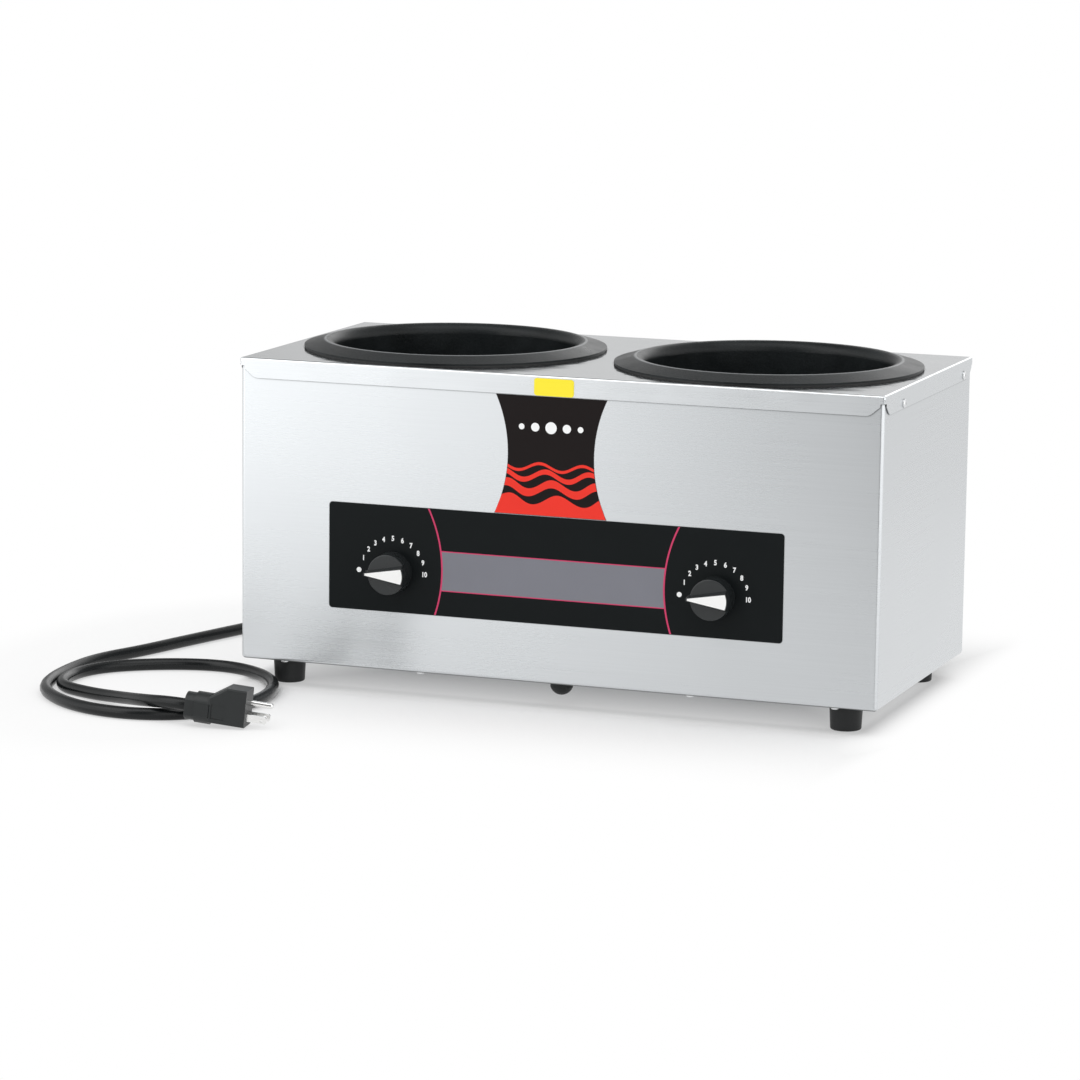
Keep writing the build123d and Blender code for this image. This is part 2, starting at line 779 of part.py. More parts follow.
def make_knob_pieces():
    """Knob and pointer insert, built along +Z from the knob's back plane, pointing to -X."""
    body = Cone(knob_base_radius, knob_face_radius, knob_body_height,
                align=(Align.CENTER, Align.CENTER, Align.MIN))
    body = fillet(body.edges().group_by(Axis.Z)[-1], 0.8)
    top = knob_body_height + knob_ridge_height
    tail = knob_tail_reach
    top_outline = pointer_outline(knob_tip_reach, tail, knob_tip_width, knob_tail_width)
    base_tip = knob_tip_width + knob_ridge_flare
    base_tail = knob_tail_width + 2 * knob_ridge_flare
    base_outline = pointer_outline(knob_tip_reach, tail, base_tip, base_tail)
    low = knob_body_height - 1
    ridge = loft([outline_face(base_outline, low), outline_face(top_outline, top)])
    ridge &= Cylinder(knob_tip_reach, 3 * top)
    ridge = round_tail(ridge, tail, 3 * top)
    beak_width = base_tip + (base_tail - base_tip) * 0.2
    beak_outline = pointer_outline(knob_tip_reach, -knob_tip_reach / 2, base_tip, beak_width)
    beak = extrude(outline_face(beak_outline, 1.5), low - 1.5)
    knob = body + ridge + beak
    cavity_radius = knob_base_radius - knob_skirt_wall
    cavity = Pos(0, 0, knob_cavity_depth / 2) * Cylinder(cavity_radius, knob_cavity_depth)
    cavity -= Pos(0, 0, knob_cavity_depth / 2) * Cylinder(knob_hub_radius, knob_cavity_depth)
    knob -= cavity
    bore_r = shaft_radius + knob_bore_gap
    bore = Pos(0, 0, knob_bore_depth / 2) * Cylinder(bore_r, knob_bore_depth)
    flat_y = shaft_radius - shaft_flat + knob_bore_gap
    bore -= Pos(0, flat_y + shaft_radius, knob_bore_depth / 2) * Box(20, 2 * shaft_radius, 40)
    knob -= bore
    margin = pointer_margin
    face = pointer_outline(knob_tip_reach - 1.6 * margin, tail - margin,
                           knob_tip_width - margin, knob_tail_width - 2 * margin)
    pocket_z = top - pointer_thickness
    pocket = extrude(outline_face(face, pocket_z), pointer_thickness + 1)
    knob -= round_tail(pocket, tail - margin, 3 * top)
    insert = extrude(outline_face(face, pocket_z), pointer_thickness + pointer_proud)
    insert = round_tail(insert, tail - margin, 3 * top)
    return knob, insert


def place_on_dial(piece, side):
    return Pos(side * knob_spacing / 2, knob_back_y, dial_z) * Rot(90, 0, 0) * piece


def bulb_place(side):
    """Axis of the upright sensing bulb, x and y, and its top z."""
    reach = well_outer_radius + bulb_seat_gap + bulb_radius
    angle = radians(bulb_angle)
    x = side * (well_spacing / 2 - reach * cos(angle))
    y = well_y + reach * sin(angle)
    top = deck_top - insulation_below_deck - insulation_height - bulb_below_insulation
    return x, y, top


def make_bulb(side):
    """Sensing bulb on the well wall with its capillary tube to the thermostat."""
    x, y, top = bulb_place(side)
    low = top - bulb_length
    bulb = drum(bulb_radius, x, y, low, top)
    body_edge = side * (knob_spacing / 2 - thermostat_width / 2)
    port_z = dial_z - thermostat_height / 4
    port_y = front_y + sheet + thermostat_plate_thickness + thermostat_depth / 3
    points = [
        (x, y, low + capillary_radius / 2),
        (x, y, low - capillary_drop),
        (x - side * capillary_slant, y - 3 * capillary_slant, low - capillary_drop - capillary_slant),
        (body_edge - side * capillary_side_reach, port_y, low - capillary_low_step),
        (body_edge - side * capillary_side_reach, port_y, port_z),
        (body_edge - side * wire_end_gap, port_y, port_z),
    ]
    return bulb + wire_tube(points, capillary_bend, capillary_radius)


def make_bulb_clip(side):
    x, y, top = bulb_place(side)
    middle = top - bulb_length / 2
    turn = degrees(atan2(y - well_y, x - side * well_spacing / 2))
    half_w = bulb_clip_width / 2
    reach = bulb_radius + bulb_clip_gap
    shell = Box(bulb_clip_depth, bulb_clip_width, bulb_clip_height)
    shell = Pos(bulb_clip_depth / 2 - bulb_radius, 0, 0) * shell
    bore = Cylinder(reach, 2 * bulb_clip_height)
    mouth = Pos(-reach, 0, 0) * Box(2 * reach, 2 * reach, 2 * bulb_clip_height)
    clip = shell - bore - mouth
    clip = Pos(x, y, middle) * Rot(0, 0, turn) * clip
    guard = well_outer_radius + bulb_seat_gap / 2
    return clip - drum(guard, side * well_spacing / 2, well_y, middle - half_w - 9, middle + half_w + 9)


def make_overlay():
    face = RectangleRounded(overlay_width, overlay_height, overlay_corner)
    sheet_body = extrude(face, overlay_thickness)
    z = case_z + overlay_centre_height
    overlay = Pos(0, front_y, z) * Rot(90, 0, 0) * sheet_body
    for side in sides.values():
        x = side * knob_spacing / 2
        overlay -= rod_y(bush_radius + bush_hole_clearance, x, dial_z, front_y - 3, front_y + 1)
    return overlay


def make_decal():
    """Waisted front decal, its sides one arc each."""
    bottom = overlay_centre_height + overlay_height / 2 + decal_gap_below
    top = case_height - deck_flange_drop - decal_gap_above
    waist = bottom + decal_waist_rise
    top_x = decal_top_width / 2
    waist_x = decal_waist_width / 2
    bottom_x = decal_bottom_width / 2
    lines = [
        Line((-top_x, top), (top_x, top)),
        ThreePointArc((top_x, top), (waist_x, waist), (bottom_x, bottom)),
        Line((bottom_x, bottom), (-bottom_x, bottom)),
        ThreePointArc((-bottom_x, bottom), (-waist_x, waist), (-top_x, top)),
    ]
    decal = extrude(make_face(Curve() + lines), decal_thickness)
    return Pos(decal_shift, front_y, case_z) * Rot(90, 0, 0) * decal


def make_label():
    face = extrude(RectangleRounded(label_width, label_height, label_corner), label_thickness)
    return Pos(0, deck_front_y, deck_top - label_centre_below_deck) * Rot(90, 0, 0) * face


def make_foot(x, y):
    top = base_z
    body = Cone(foot_bottom_radius, foot_top_radius, top, align=(Align.CENTER, Align.CENTER, Align.MIN))
    body = fillet(body.edges().group_by(Axis.Z)[0], foot_edge_round)
    body -= drum(foot_counterbore_radius, 0, 0, -1, foot_counterbore_depth)
    body -= drum(foot_screw_radius + foot_screw_gap, 0, 0, -1, top + 1)
    return Pos(x, y, 0) * body


def make_foot_screw(x, y):
    head_z = foot_counterbore_depth
    end_z = base_top + foot_nut_height + 2
    head = drum(foot_screw_head_radius, x, y, head_z - foot_screw_head_height, head_z)
    head -= Pos(x, y, head_z - foot_screw_head_height) * Box(6, 1.2, 2.4)
    return head + drum(foot_screw_radius, x, y, head_z, end_z)


def make_bumper():
    dome_z = base_z - bumper_straight
    rise = dome_z - bumper_clearance
    dome_radius = (bumper_radius ** 2 + rise ** 2) / (2 * rise)
    half_cap = atan2(bumper_radius, dome_radius - rise) / 2
    cap_mid = (dome_radius * sin(half_cap), bumper_clearance + dome_radius * (1 - cos(half_cap)))
    lines = [
        Line((0, base_z), (bumper_radius, base_z)),
        Line((bumper_radius, base_z), (bumper_radius, dome_z)),
        ThreePointArc((bumper_radius, dome_z), cap_mid, (0, bumper_clearance)),
        Line((0, bumper_clearance), (0, base_z)),
    ]
    dome = revolve(Rot(90, 0, 0) * make_face(Curve() + lines), Axis.Z)
    dome += drum(bumper_stem_radius, 0, 0, base_z - 1, base_top + bumper_stem_length)
    return Pos(0, foot_y_front, 0) * dome


def make_terminal_block():
    half_l = terminal_length / 2
    half_d = terminal_depth / 2
    x0 = terminal_place_x - half_l
    block_body = block(x0, x0 + terminal_length, terminal_y - half_d, terminal_y + half_d,
                       base_top, base_top + terminal_height)
    well = terminal_pole_pitch - terminal_wall
    for pole in (-1, 0, 1):
        x = terminal_place_x + pole * terminal_pole_pitch
        for row in (-1, 1):
            y0, y1 = sorted((terminal_y + row * 2, terminal_y + row * (half_d + 1)))
            block_body -= block(x - well / 2, x + well / 2, y0, y1, base_top + 8, base_top + 40)
    return block_body


def make_terminal_screws():
    screws = []
    z = base_top + 8
    for pole in (-1, 0, 1):
        for row in (-1, 1):
            x = terminal_place_x + pole * terminal_pole_pitch
            y = terminal_y + row * terminal_depth / 4
            screw = drum(terminal_screw_radius, x, y, z, z + terminal_screw_height)
            slot = Pos(x, y, z + terminal_screw_height) * Box(6, 0.9, 1.4)
            screws.append(screw - slot)
    return screws


def make_ground_screw():
    y = terminal_y
    stud = drum(ground_stud_radius, ground_place_x, y, base_top, base_top + ground_stud_length)
    nut = hex_nut(ground_nut_flats, ground_nut_height, ground_stud_radius + 0.05)
    return [stud, Pos(ground_place_x, y, base_top + 2) * nut]


def make_wires():
    """Wires from the terminal block to both thermostats and elements, by node name."""
    run_z = base_top + 4 * wire_radius
    supply_z = run_z + wire_level_step
    neutral_z = supply_z + wire_level_step
    seat = base_top + 8 + wire_radius + terminal_screw_height + wire_end_gap
    groups = {"supply_wires": [], "element_wires": [], "neutral_wires": []}
    for side in sides.values():
        tab_out, tab_in = thermostat_tab_spots(side)[::side]
        pin_out, pin_in = element_pin_spots(side)[::side]
        pole_x = terminal_place_x + side * terminal_pole_pitch * 0.2
        front_pole_y = terminal_y - terminal_depth / 4
        supply = [
            (pole_x - terminal_pole_pitch, front_pole_y, seat),
            (pole_x - terminal_pole_pitch, front_pole_y - wire_block_lead, seat),
            (pole_x - terminal_pole_pitch, front_pole_y - wire_block_lead - wire_block_fall, supply_z),
            (tab_in[0], tab_in[1] + wire_turn_back, supply_z),
            (tab_in[0], tab_in[1], supply_z),
            (tab_in[0], tab_in[1], tab_in[2] - wire_end_gap),
        ]
        groups["supply_wires"].append(wire_tube(supply, wire_bend, wire_radius))
        element_wire = [
            (tab_out[0], tab_out[1], tab_out[2] - wire_end_gap),
            (tab_out[0], tab_out[1], run_z),
            (pin_out[0], pin_out[1], run_z),
            (pin_out[0], pin_out[1], pin_out[2] - wire_end_gap),
        ]
        groups["element_wires"].append(wire_tube(element_wire, wire_bend, wire_radius))
        neutral = [
            (pin_in[0], pin_in[1], pin_in[2] - wire_end_gap),
            (pin_in[0], pin_in[1], neutral_z),
            (pin_in[0], pin_in[1] + wire_pin_lead - side * 4, neutral_z),
            (pole_x + side * wire_radius, front_pole_y - wire_block_fall - 8, neutral_z),
            (pole_x + side * wire_radius, front_pole_y - wire_block_fall / 2, seat),
            (pole_x + side * wire_radius, front_pole_y, seat),
        ]
        groups["neutral_wires"].append(wire_tube(neutral, wire_bend, wire_radius))
    return groups


def make_ground_wire():
    pole_x = terminal_place_x + terminal_pole_pitch
    front_pole_y = terminal_y - terminal_depth / 4
    seat = base_top + 8 + wire_radius + terminal_screw_height + wire_end_gap
    lug_z = base_top + 2 + ground_nut_height + wire_radius + wire_end_gap
    side_x = ground_place_x - ground_stud_radius - wire_radius - wire_end_gap
    points = [
        (pole_x, front_pole_y, seat),
        (pole_x, front_pole_y - 18, seat),
        (side_x, front_pole_y - 24, lug_z),
        (side_x, terminal_y + 3, lug_z),
    ]
    return wire_tube(points, wire_bend, wire_radius)


def make_cord_leads():
    """Three insulated leads from the strain relief's inner end down to the terminal block."""
    start_y = rear_y - sheet - relief_thread_length - wire_end_gap
    seat = base_top + 8 + lead_radius + terminal_screw_height + wire_end_gap
    rear_pole_y = terminal_y + terminal_depth / 4
    leads = []
    for pole in (-1, 0, 1):
        x0 = cord_exit_x + pole * lead_pitch
        x1 = terminal_place_x + pole * terminal_pole_pitch
        points = [
            (x0, start_y, cord_exit_height),
            (x0, start_y - 8, cord_exit_height),
            (x1, start_y - 20, seat + 4),
            (x1, rear_pole_y + 8, seat),
            (x1, rear_pole_y, seat),
        ]
        leads.append(wire_tube(points, lead_bend, lead_radius))
    return leads


def make_strain_relief():
    """Tapered strain relief along +Y, through the rear panel, with a blind end for the cord."""
    bend_y = rear_y - sheet - relief_thread_length
    thread = rod_y(relief_neck_radius, cord_exit_x, cord_exit_height, bend_y, rear_y)
    flange = rod_y(relief_flange_radius, cord_exit_x, cord_exit_height, rear_y, relief_y)
    taper = Cone(relief_base_radius, relief_tip_radius, relief_length)
    taper = Pos(cord_exit_x, relief_y + relief_length / 2, cord_exit_height) * Rot(-90, 0, 0) * taper
    body = thread + flange + taper
    narrowing = (relief_base_radius - relief_tip_radius) / relief_length
    for n in range(relief_groove_count):
        along = relief_groove_start + n * relief_groove_pitch
        radius = relief_base_radius - narrowing * along
        y = relief_y + along
        groove = rod_y(radius + 2, cord_exit_x, cord_exit_height, y, y + relief_groove_width)
        groove -= rod_y(radius - relief_groove_depth, cord_exit_x, cord_exit_height, y - 1, y + 3)
        body -= groove
    return body


def make_relief_nut():
    nut = hex_nut(relief_nut_flats, relief_nut_height, relief_neck_radius + 0.05)
    return Pos(cord_exit_x, rear_y - sheet, cord_exit_height) * Rot(90, 0, 0) * nut


def plug_plane():
    """Frame of the plug: x along its axis away from the cord, z up, at its neck."""
    heading = radians(plug_heading)
    dip = radians(plug_dip)
    axis = Vector(cos(heading) * cos(dip), sin(heading) * cos(dip), -sin(dip))
    neck = Vector(plug_neck_x, case_y + plug_neck_y, plug_neck_height)
    side = Vector(-sin(heading), cos(heading), 0)
    return Plane(origin=neck, x_dir=axis, z_dir=axis.cross(side))


def side_outline(points, width):
    """Prism of an outline in the plug's x and z, centred across its width."""
    return Pos(0, width / 2, 0) * Rot(90, 0, 0) * extrude(polygon(points), width)


def flat_sided_disc(height, width, start, length):
    """Disc about the plug's axis with its two sides cut flat."""
    disc = Rot(0, 90, 0) * Cylinder(height / 2, length)
    return Pos(start + length / 2, 0, 0) * (disc & Box(length, width, height))


def make_plug_body():
    grip_start = plug_collar_length
    waist_start = grip_start + plug_grip_length
    flare_end = waist_start + plug_flare_length
    face_x = waist_start + plug_body_length
    main = side_outline([
        (waist_start - 1, -plug_waist_drop),
        (face_x, -plug_body_drop),
        (face_x, plug_body_rise),
        (flare_end, plug_body_rise),
        (waist_start - 1, plug_waist_rise),
    ], plug_body_width)
    long_edges = main.edges().filter_by(Axis.Y, reverse=True)
    main = fillet([e for e in long_edges if e.center().X < face_x - 0.1], plug_edge_round)
    collar = flat_sided_disc(plug_collar_height, plug_collar_width, 0, plug_collar_length)
    grip = flat_sided_disc(plug_grip_height, plug_grip_width, grip_start, plug_grip_length)
    body = main + collar + grip
    for lateral in (-1, 1):
        side_y = lateral * plug_body_width / 2
        body -= block(waist_start + plug_recess_start, flare_end, side_y - plug_recess_depth,
                      side_y + plug_recess_depth, -plug_recess_drop, plug_recess_rise)
    half = blade_width / 2
    z = -blade_drop
    deep = face_x - blade_depth
    for lateral in (-1, 1):
        y = lateral * blade_spacing / 2
        body -= block(deep, face_x + 1, y - blade_thickness / 2, y + blade_thickness / 2, z - half, z + half)
    pin_z = z + ground_pin_offset
    body -= rod_x(ground_pin_radius, 0, pin_z, deep, face_x + 1)
    return plug_plane().location * body


def plug_face_x():
    return plug_collar_length + plug_grip_length + plug_body_length


def make_plug_blades():
    face_x = plug_face_x()
    half = blade_width / 2
    z = -blade_drop
    tip = face_x + blade_length
    blades = []
    for lateral in (-1, 1):
        y = lateral * blade_spacing / 2
        blade = block(face_x - blade_depth, tip, y - blade_thickness / 2, y + blade_thickness / 2,
                      z - half, z + half)
        blade = chamfer(blade.edges().filter_by(Axis.Y).group_by(Axis.X)[-1], 1.2)
        blade -= rod_y(blade_hole_radius, tip - blade_hole_from_tip, z, y - 3, y + 3)
        blades.append(plug_plane().location * blade)
    return blades


def make_ground_pin():
    face_x = plug_face_x()
    z = ground_pin_offset - blade_drop
    pin = rod_x(ground_pin_radius, 0, z, face_x - blade_depth, face_x + ground_pin_length)
    pin = fillet(pin.edges().group_by(Axis.X)[-1], 1.8)
    return plug_plane().location * pin


def make_cord():
    """Free cord from the strain relief's end to the plug's neck."""
    points = [(cord_exit_x, cord_start_y, cord_exit_height)]
    points += [(x, case_y + y, z) for x, y, z in cord_points]
    plug = plug_plane()
    points.append(tuple(plug.origin - plug.x_dir * plug_lead_in))
    points.append(tuple(plug.origin))
    radii = turn_radii(points)
    cord = tube(points, cord_diameter / 2)
    length = FilletPolyline(*points, radius=radii).length
    print("cord length", round(length), "radii", [round(r) for r in radii])
    print("cord volume ratio", round(cord.volume / (pi * cord_diameter ** 2 / 4 * length), 4))
    return cord


def collect_nodes():
    nodes = {
        "case_wrap": make_case_wrap(),
        "top_deck": make_top_deck(),
        "rear_panel": make_rear_panel(),
        "base_pan": make_base_pan(),
        "control_overlay": make_overlay(),
        "front_decal": make_decal(),
        "yellow_label": make_label(),
        "centre_bumper": make_bumper(),
        "terminal_block": make_terminal_block(),
        "terminal_screws": make_terminal_screws(),
        "ground_stud_and_nut": make_ground_screw(),
        "ground_wire": make_ground_wire(),
        "cord_leads": make_cord_leads(),
        "strain_relief": make_strain_relief(),
        "strain_relief_nut": make_relief_nut(),
        "power_cord": make_cord(),
        "plug_body": make_plug_body(),
        "plug_blades": make_plug_blades(),
        "plug_ground_pin": make_ground_pin(),
    }
    nodes.update(make_wires())
    knob, pointer = make_knob_pieces()
    nut = hex_nut(stud_nut_flats, stud_nut_height, stud_radius + 0.05)
    weld_nut = hex_nut(weld_nut_flats, weld_nut_height, weld_stud_radius + 0.05)
    element_nuts = []
    thermostat_nuts = []
    for name, side in sides.items():
        at_well = Pos(side * well_spacing / 2, well_y, deck_top)
        nodes[f"well_{name}"] = at_well * make_well()
        nodes[f"well_seal_{name}"] = at_well * make_seal()
        nodes[f"well_clips_{name}"] = [at_well * clip for clip in make_clips()]
        nodes[f"well_insulation_{name}"] = at_well * make_insulation()
        nodes[f"heating_element_{name}"] = at_well * make_element()
        nodes[f"element_clamp_{name}"] = at_well * make_clamp()
        nut_z = clamp_top - clamp_thickness - stud_nut_height
        element_nuts.append(Pos(side * well_spacing / 2, well_y, nut_z) * nut)
        nodes[f"thermostat_{name}"] = make_thermostat(side)
        nodes[f"thermostat_shaft_{name}"] = make_shaft(side)
        nodes[f"thermostat_bulb_{name}"] = make_bulb(side)
        nodes[f"bulb_clip_{name}"] = make_bulb_clip(side)
        nodes[f"knob_{name}"] = place_on_dial(knob, side)
        nodes[f"knob_pointer_{name}"] = place_on_dial(pointer, side)
        nut_y = front_y + sheet + thermostat_plate_thickness + weld_nut_height
        for x, z in weld_stud_spots(side):
            thermostat_nuts.append(Pos(x, nut_y, z) * Rot(90, 0, 0) * weld_nut)
    nodes["element_nuts"] = element_nuts
    nodes["thermostat_nuts"] = thermostat_nuts
    screw = round_screw()
    nodes["deck_side_screws"] = [
        Pos(side * deck_half_width, y, deck_top - deck_screw_drop) * Rot(0, -90 * side, 0) * screw
        for side, y in side_screw_spots()
    ]
    nodes["base_screws"] = [Pos(x, y, case_z) * screw for x, y in base_screw_spots()]
    rear_screws = [Pos(x, rear_y, z) * Rot(90, 0, 0) * screw for x, z in rear_screw_spots()]
    rear_screws += [Pos(x, deck_rear_y, z) * Rot(90, 0, 0) * screw for x, z in deck_rear_screw_spots()]
    nodes["rear_screws"] = rear_screws
    foot_nut = hex_nut(foot_nut_flats, foot_nut_height, foot_screw_radius + 0.05)
    for name, (x, y) in foot_spots().items():
        nodes[f"foot_{name}"] = make_foot(x, y)
    nodes["foot_screws"] = [make_foot_screw(x, y) for x, y in foot_spots().values()]
    nodes["foot_nuts"] = [Pos(x, y, base_top) * foot_nut for x, y in foot_spots().values()]
    return nodes


def save_nodes():
    os.makedirs("parts", exist_ok=True)
    for name, shape in collect_nodes().items():
        solids = shape if isinstance(shape, list) else [shape]
        solids = [solid for entry in solids for solid in entry.solids()]
        whole = solids[0] if len(solids) == 1 else Compound(children=solids)
        export_step(whole, f"parts/{name}.step")


save_nodes()
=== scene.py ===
"""Looks of the twin-well rethermalizer: camera, cord, prints, materials, floor and light."""

import json
import math

import bmesh
import bpy
from mathutils import Matrix, Vector


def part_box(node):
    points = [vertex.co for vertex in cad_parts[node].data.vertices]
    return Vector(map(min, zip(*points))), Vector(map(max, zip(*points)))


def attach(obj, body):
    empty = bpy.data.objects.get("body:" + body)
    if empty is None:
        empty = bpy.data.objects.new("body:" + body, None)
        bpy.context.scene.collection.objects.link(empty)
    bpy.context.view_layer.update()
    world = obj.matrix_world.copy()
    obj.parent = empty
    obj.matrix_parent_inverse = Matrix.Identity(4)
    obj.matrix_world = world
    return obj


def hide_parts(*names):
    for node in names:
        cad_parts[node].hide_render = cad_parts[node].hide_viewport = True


MM = 0.001

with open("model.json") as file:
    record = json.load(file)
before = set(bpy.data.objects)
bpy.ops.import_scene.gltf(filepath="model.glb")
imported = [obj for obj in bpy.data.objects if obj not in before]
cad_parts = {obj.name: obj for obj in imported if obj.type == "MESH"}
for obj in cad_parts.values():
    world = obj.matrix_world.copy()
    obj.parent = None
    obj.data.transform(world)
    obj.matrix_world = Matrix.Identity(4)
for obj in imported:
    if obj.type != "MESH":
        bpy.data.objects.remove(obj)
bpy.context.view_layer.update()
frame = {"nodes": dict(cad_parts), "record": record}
nodes = frame["nodes"]
scene = bpy.context.scene


# Camera

CAMERA_PLACE = Vector((1.29118, -3.67249, 0.79932))
CAMERA_AZIMUTH = math.radians(20.2006)
CAMERA_ELEVATION = math.radians(9.779)
CAMERA_ROLL = math.radians(0.6857)
CAMERA_LENS = 147.484
CAMERA_SENSOR = 36.0


def make_camera():
    data = bpy.data.cameras.new("camera")
    data.lens = CAMERA_LENS
    data.sensor_width = CAMERA_SENSOR
    data.clip_start = 0.05
    data.clip_end = 100.0
    level = math.cos(CAMERA_ELEVATION)
    back = Vector((math.sin(CAMERA_AZIMUTH) * level,
                   -math.cos(CAMERA_AZIMUTH) * level,
                   math.sin(CAMERA_ELEVATION)))
    right = (-back).cross(Vector((0, 0, 1))).normalized()
    up = right.cross(-back)
    turned_right = right * math.cos(CAMERA_ROLL) + up * math.sin(CAMERA_ROLL)
    turned_up = up * math.cos(CAMERA_ROLL) - right * math.sin(CAMERA_ROLL)
    turn = Matrix((turned_right, turned_up, back)).transposed()
    camera = bpy.data.objects.new("camera", data)
    camera.matrix_world = Matrix.Translation(CAMERA_PLACE) @ turn.to_4x4()
    scene.collection.objects.link(camera)
    scene.camera = camera


make_camera()


# Cord

CORD_DIAMETER = 0.011
CORD_EXIT = (0.060, 0.1892, 0.060)
# The route is in millimetres, with y counted from the middle of the case.
CORD_CASE_Y = 9.2
CORD_ROUTE = [
    (60, 214, 60), (56, 246, 49), (34, 270, 29), (-6, 280, 13),
    (-52, 270, 6), (-106, 255, 5.5), (-169, 234, 5.5), (-237, 224, 5.5),
    (-300, 202, 5.5), (-347, 158, 5.5), (-374, 98, 5.5), (-392, 42, 5.5),
    (-411, -19, 5.5), (-426, -71, 5.5), (-446, -120, 5.5), (-449, -173, 5.5),
    (-443, -228, 5.5), (-424, -271, 5.5), (-379, -311, 5.5), (-327, -326, 5.5),
    (-278, -313, 5.5), (-246, -273, 5.5), (-237, -222, 5.5), (-249, -167, 5.5),
    (-278, -126, 5.5), (-322, -102, 5.5), (-372, -111, 5.5), (-422, -145, 5.5),
    (-438, -188, 5.5), (-427, -240, 5.5), (-386, -260, 5.5), (-348, -279, 8.5),
    (-305, -313.7, 16),
]
CORD_END = [(-0.27736, -0.31461, 0.01876), (-0.2636, -0.3125, 0.0173)]


def make_cord():
    route = [(x * MM, (y + CORD_CASE_Y) * MM, z * MM) for x, y, z in CORD_ROUTE]
    points = [CORD_EXIT, *route, *CORD_END]
    data = bpy.data.curves.new("cord", "CURVE")
    data.dimensions = "3D"
    data.resolution_u = 10
    data.bevel_depth = 1.0
    data.bevel_resolution = 5
    data.use_fill_caps = True
    spline = data.splines.new("NURBS")
    spline.points.add(len(points) - 1)
    for point, place in zip(spline.points, points):
        point.co = (*place, 1.0)
        point.radius = CORD_DIAMETER / 2
    spline.order_u = 3
    spline.use_endpoint_u = True
    cord = bpy.data.objects.new("cord", data)
    scene.collection.objects.link(cord)
    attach(cord, "root")
    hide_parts("power_cord")
    return cord


cord = make_cord()


# Materials

def from_screen(red, green, blue):
    """A colour of 0 to 255 as seen on a screen, as linear light."""
    def one(value):
        value /= 255
        return value / 12.92 if value <= 0.04045 else ((value + 0.055) / 1.055) ** 2.4
    return (one(red), one(green), one(blue), 1.0)


def shade(colour, factor):
    return (*(min(1.0, channel * factor) for channel in colour[:3]), 1.0)


# Painted shade in corners and creases: ambient occlusion within the reach, multiplied into the colour.
CREASE_SHADED = 0.55
CREASE_CLEAR = 0.92
CREASE_REACH = 2.5 * MM
CREASE_PAINTED_SHADE = 0.3
BROAD_PATCHES = 30.0
# Painted shade along the case's bottom edge: darkest just above the bottom, clear a little higher up.
BOTTOM_SHADE_DARK = 0.9 * MM
BOTTOM_SHADE_CLEAR = 1.5 * MM
BOTTOM_SHADE_LEVEL = 0.28
STREAKS_ALONG = 5.0
STREAKS_ACROSS = 900.0


class Surface:
    """A procedural material: one Principled shader and the nodes that feed it."""

    def __init__(self, name, **sockets):
        self.material = bpy.data.materials.new(name)
        self.material.use_nodes = True
        self.tree = self.material.node_tree
        self.shader = self.tree.nodes["Principled BSDF"]
        for socket, value in sockets.items():
            self.feed(socket.replace("_", " "), value)
        self.place = self.add("TexCoord").outputs["Object"]

    def feed(self, socket, value):
        """Sets a socket of the shader, or links a node to it."""
        names = {"colour": "Base Color", "specular": "Specular IOR Level",
                 "coat": "Coat Weight", "coat roughness": "Coat Roughness"}
        self.join(self.shader.inputs[names.get(socket, socket.title())], value)

    def join(self, socket, value):
        if isinstance(value, bpy.types.NodeSocket):
            self.tree.links.new(value, socket)
        elif isinstance(value, bpy.types.Node):
            self.tree.links.new(value.outputs[0], socket)
        else:
            socket.default_value = value

    def add(self, kind, *inputs, **settings):
        """A node with its settings, and its inputs in order; None leaves one as it is."""
        node = self.tree.nodes.new("ShaderNode" + kind)
        for name, value in settings.items():
            setattr(node, name, value)
        for socket, value in zip(node.inputs, inputs):
            if value is not None:
                self.join(socket, value)
        return node

    def stretched(self, x, y, z):
        """Object coordinates times a factor for each axis, in features per metre."""
        return self.add("VectorMath", self.place, (x, y, z), operation="MULTIPLY")

    def noise(self, vector, detail=2.0, roughness=0.5, scale=1.0):
        node = self.add("TexNoise", vector)
        node.inputs["Scale"].default_value = scale
        node.inputs["Detail"].default_value = detail
        node.inputs["Roughness"].default_value = roughness
        return node.outputs[0]

    def ranged(self, value, low, high, from_low=0.3, from_high=0.7):
        return self.add("MapRange", value, from_low, from_high, low, high)

    def ramp(self, value, *stops):
        node = self.add("ValToRGB", value)
        elements = node.color_ramp.elements
        while len(elements) < len(stops):
            elements.new(0.5)
        for element, (position, colour) in zip(elements, stops):
            element.position = position
            element.color = colour
        return node

    def crease(self, reach, depth):
        """Painted shade: 1 in the open, falling to depth in the corners that pieces make with each
        other, from ambient occlusion, to multiply into a colour.
        """
        node = self.add("AmbientOcclusion", samples=12)
        node.inputs["Distance"].default_value = reach
        return self.add("MapRange", node.outputs["AO"], CREASE_SHADED, CREASE_CLEAR, depth, 1.0)

    def facing(self):
        """The x, y and z of the way that the surface faces."""
        return self.add("SeparateXYZ", self.add("NewGeometry").outputs["Normal"]).outputs

    def bump(self, height, strength, distance, below=None):
        node = self.add("Bump", strength, distance)
        self.join(node.inputs["Height"], height)
        if below is not None:
            self.join(node.inputs["Normal"], below)
        return node


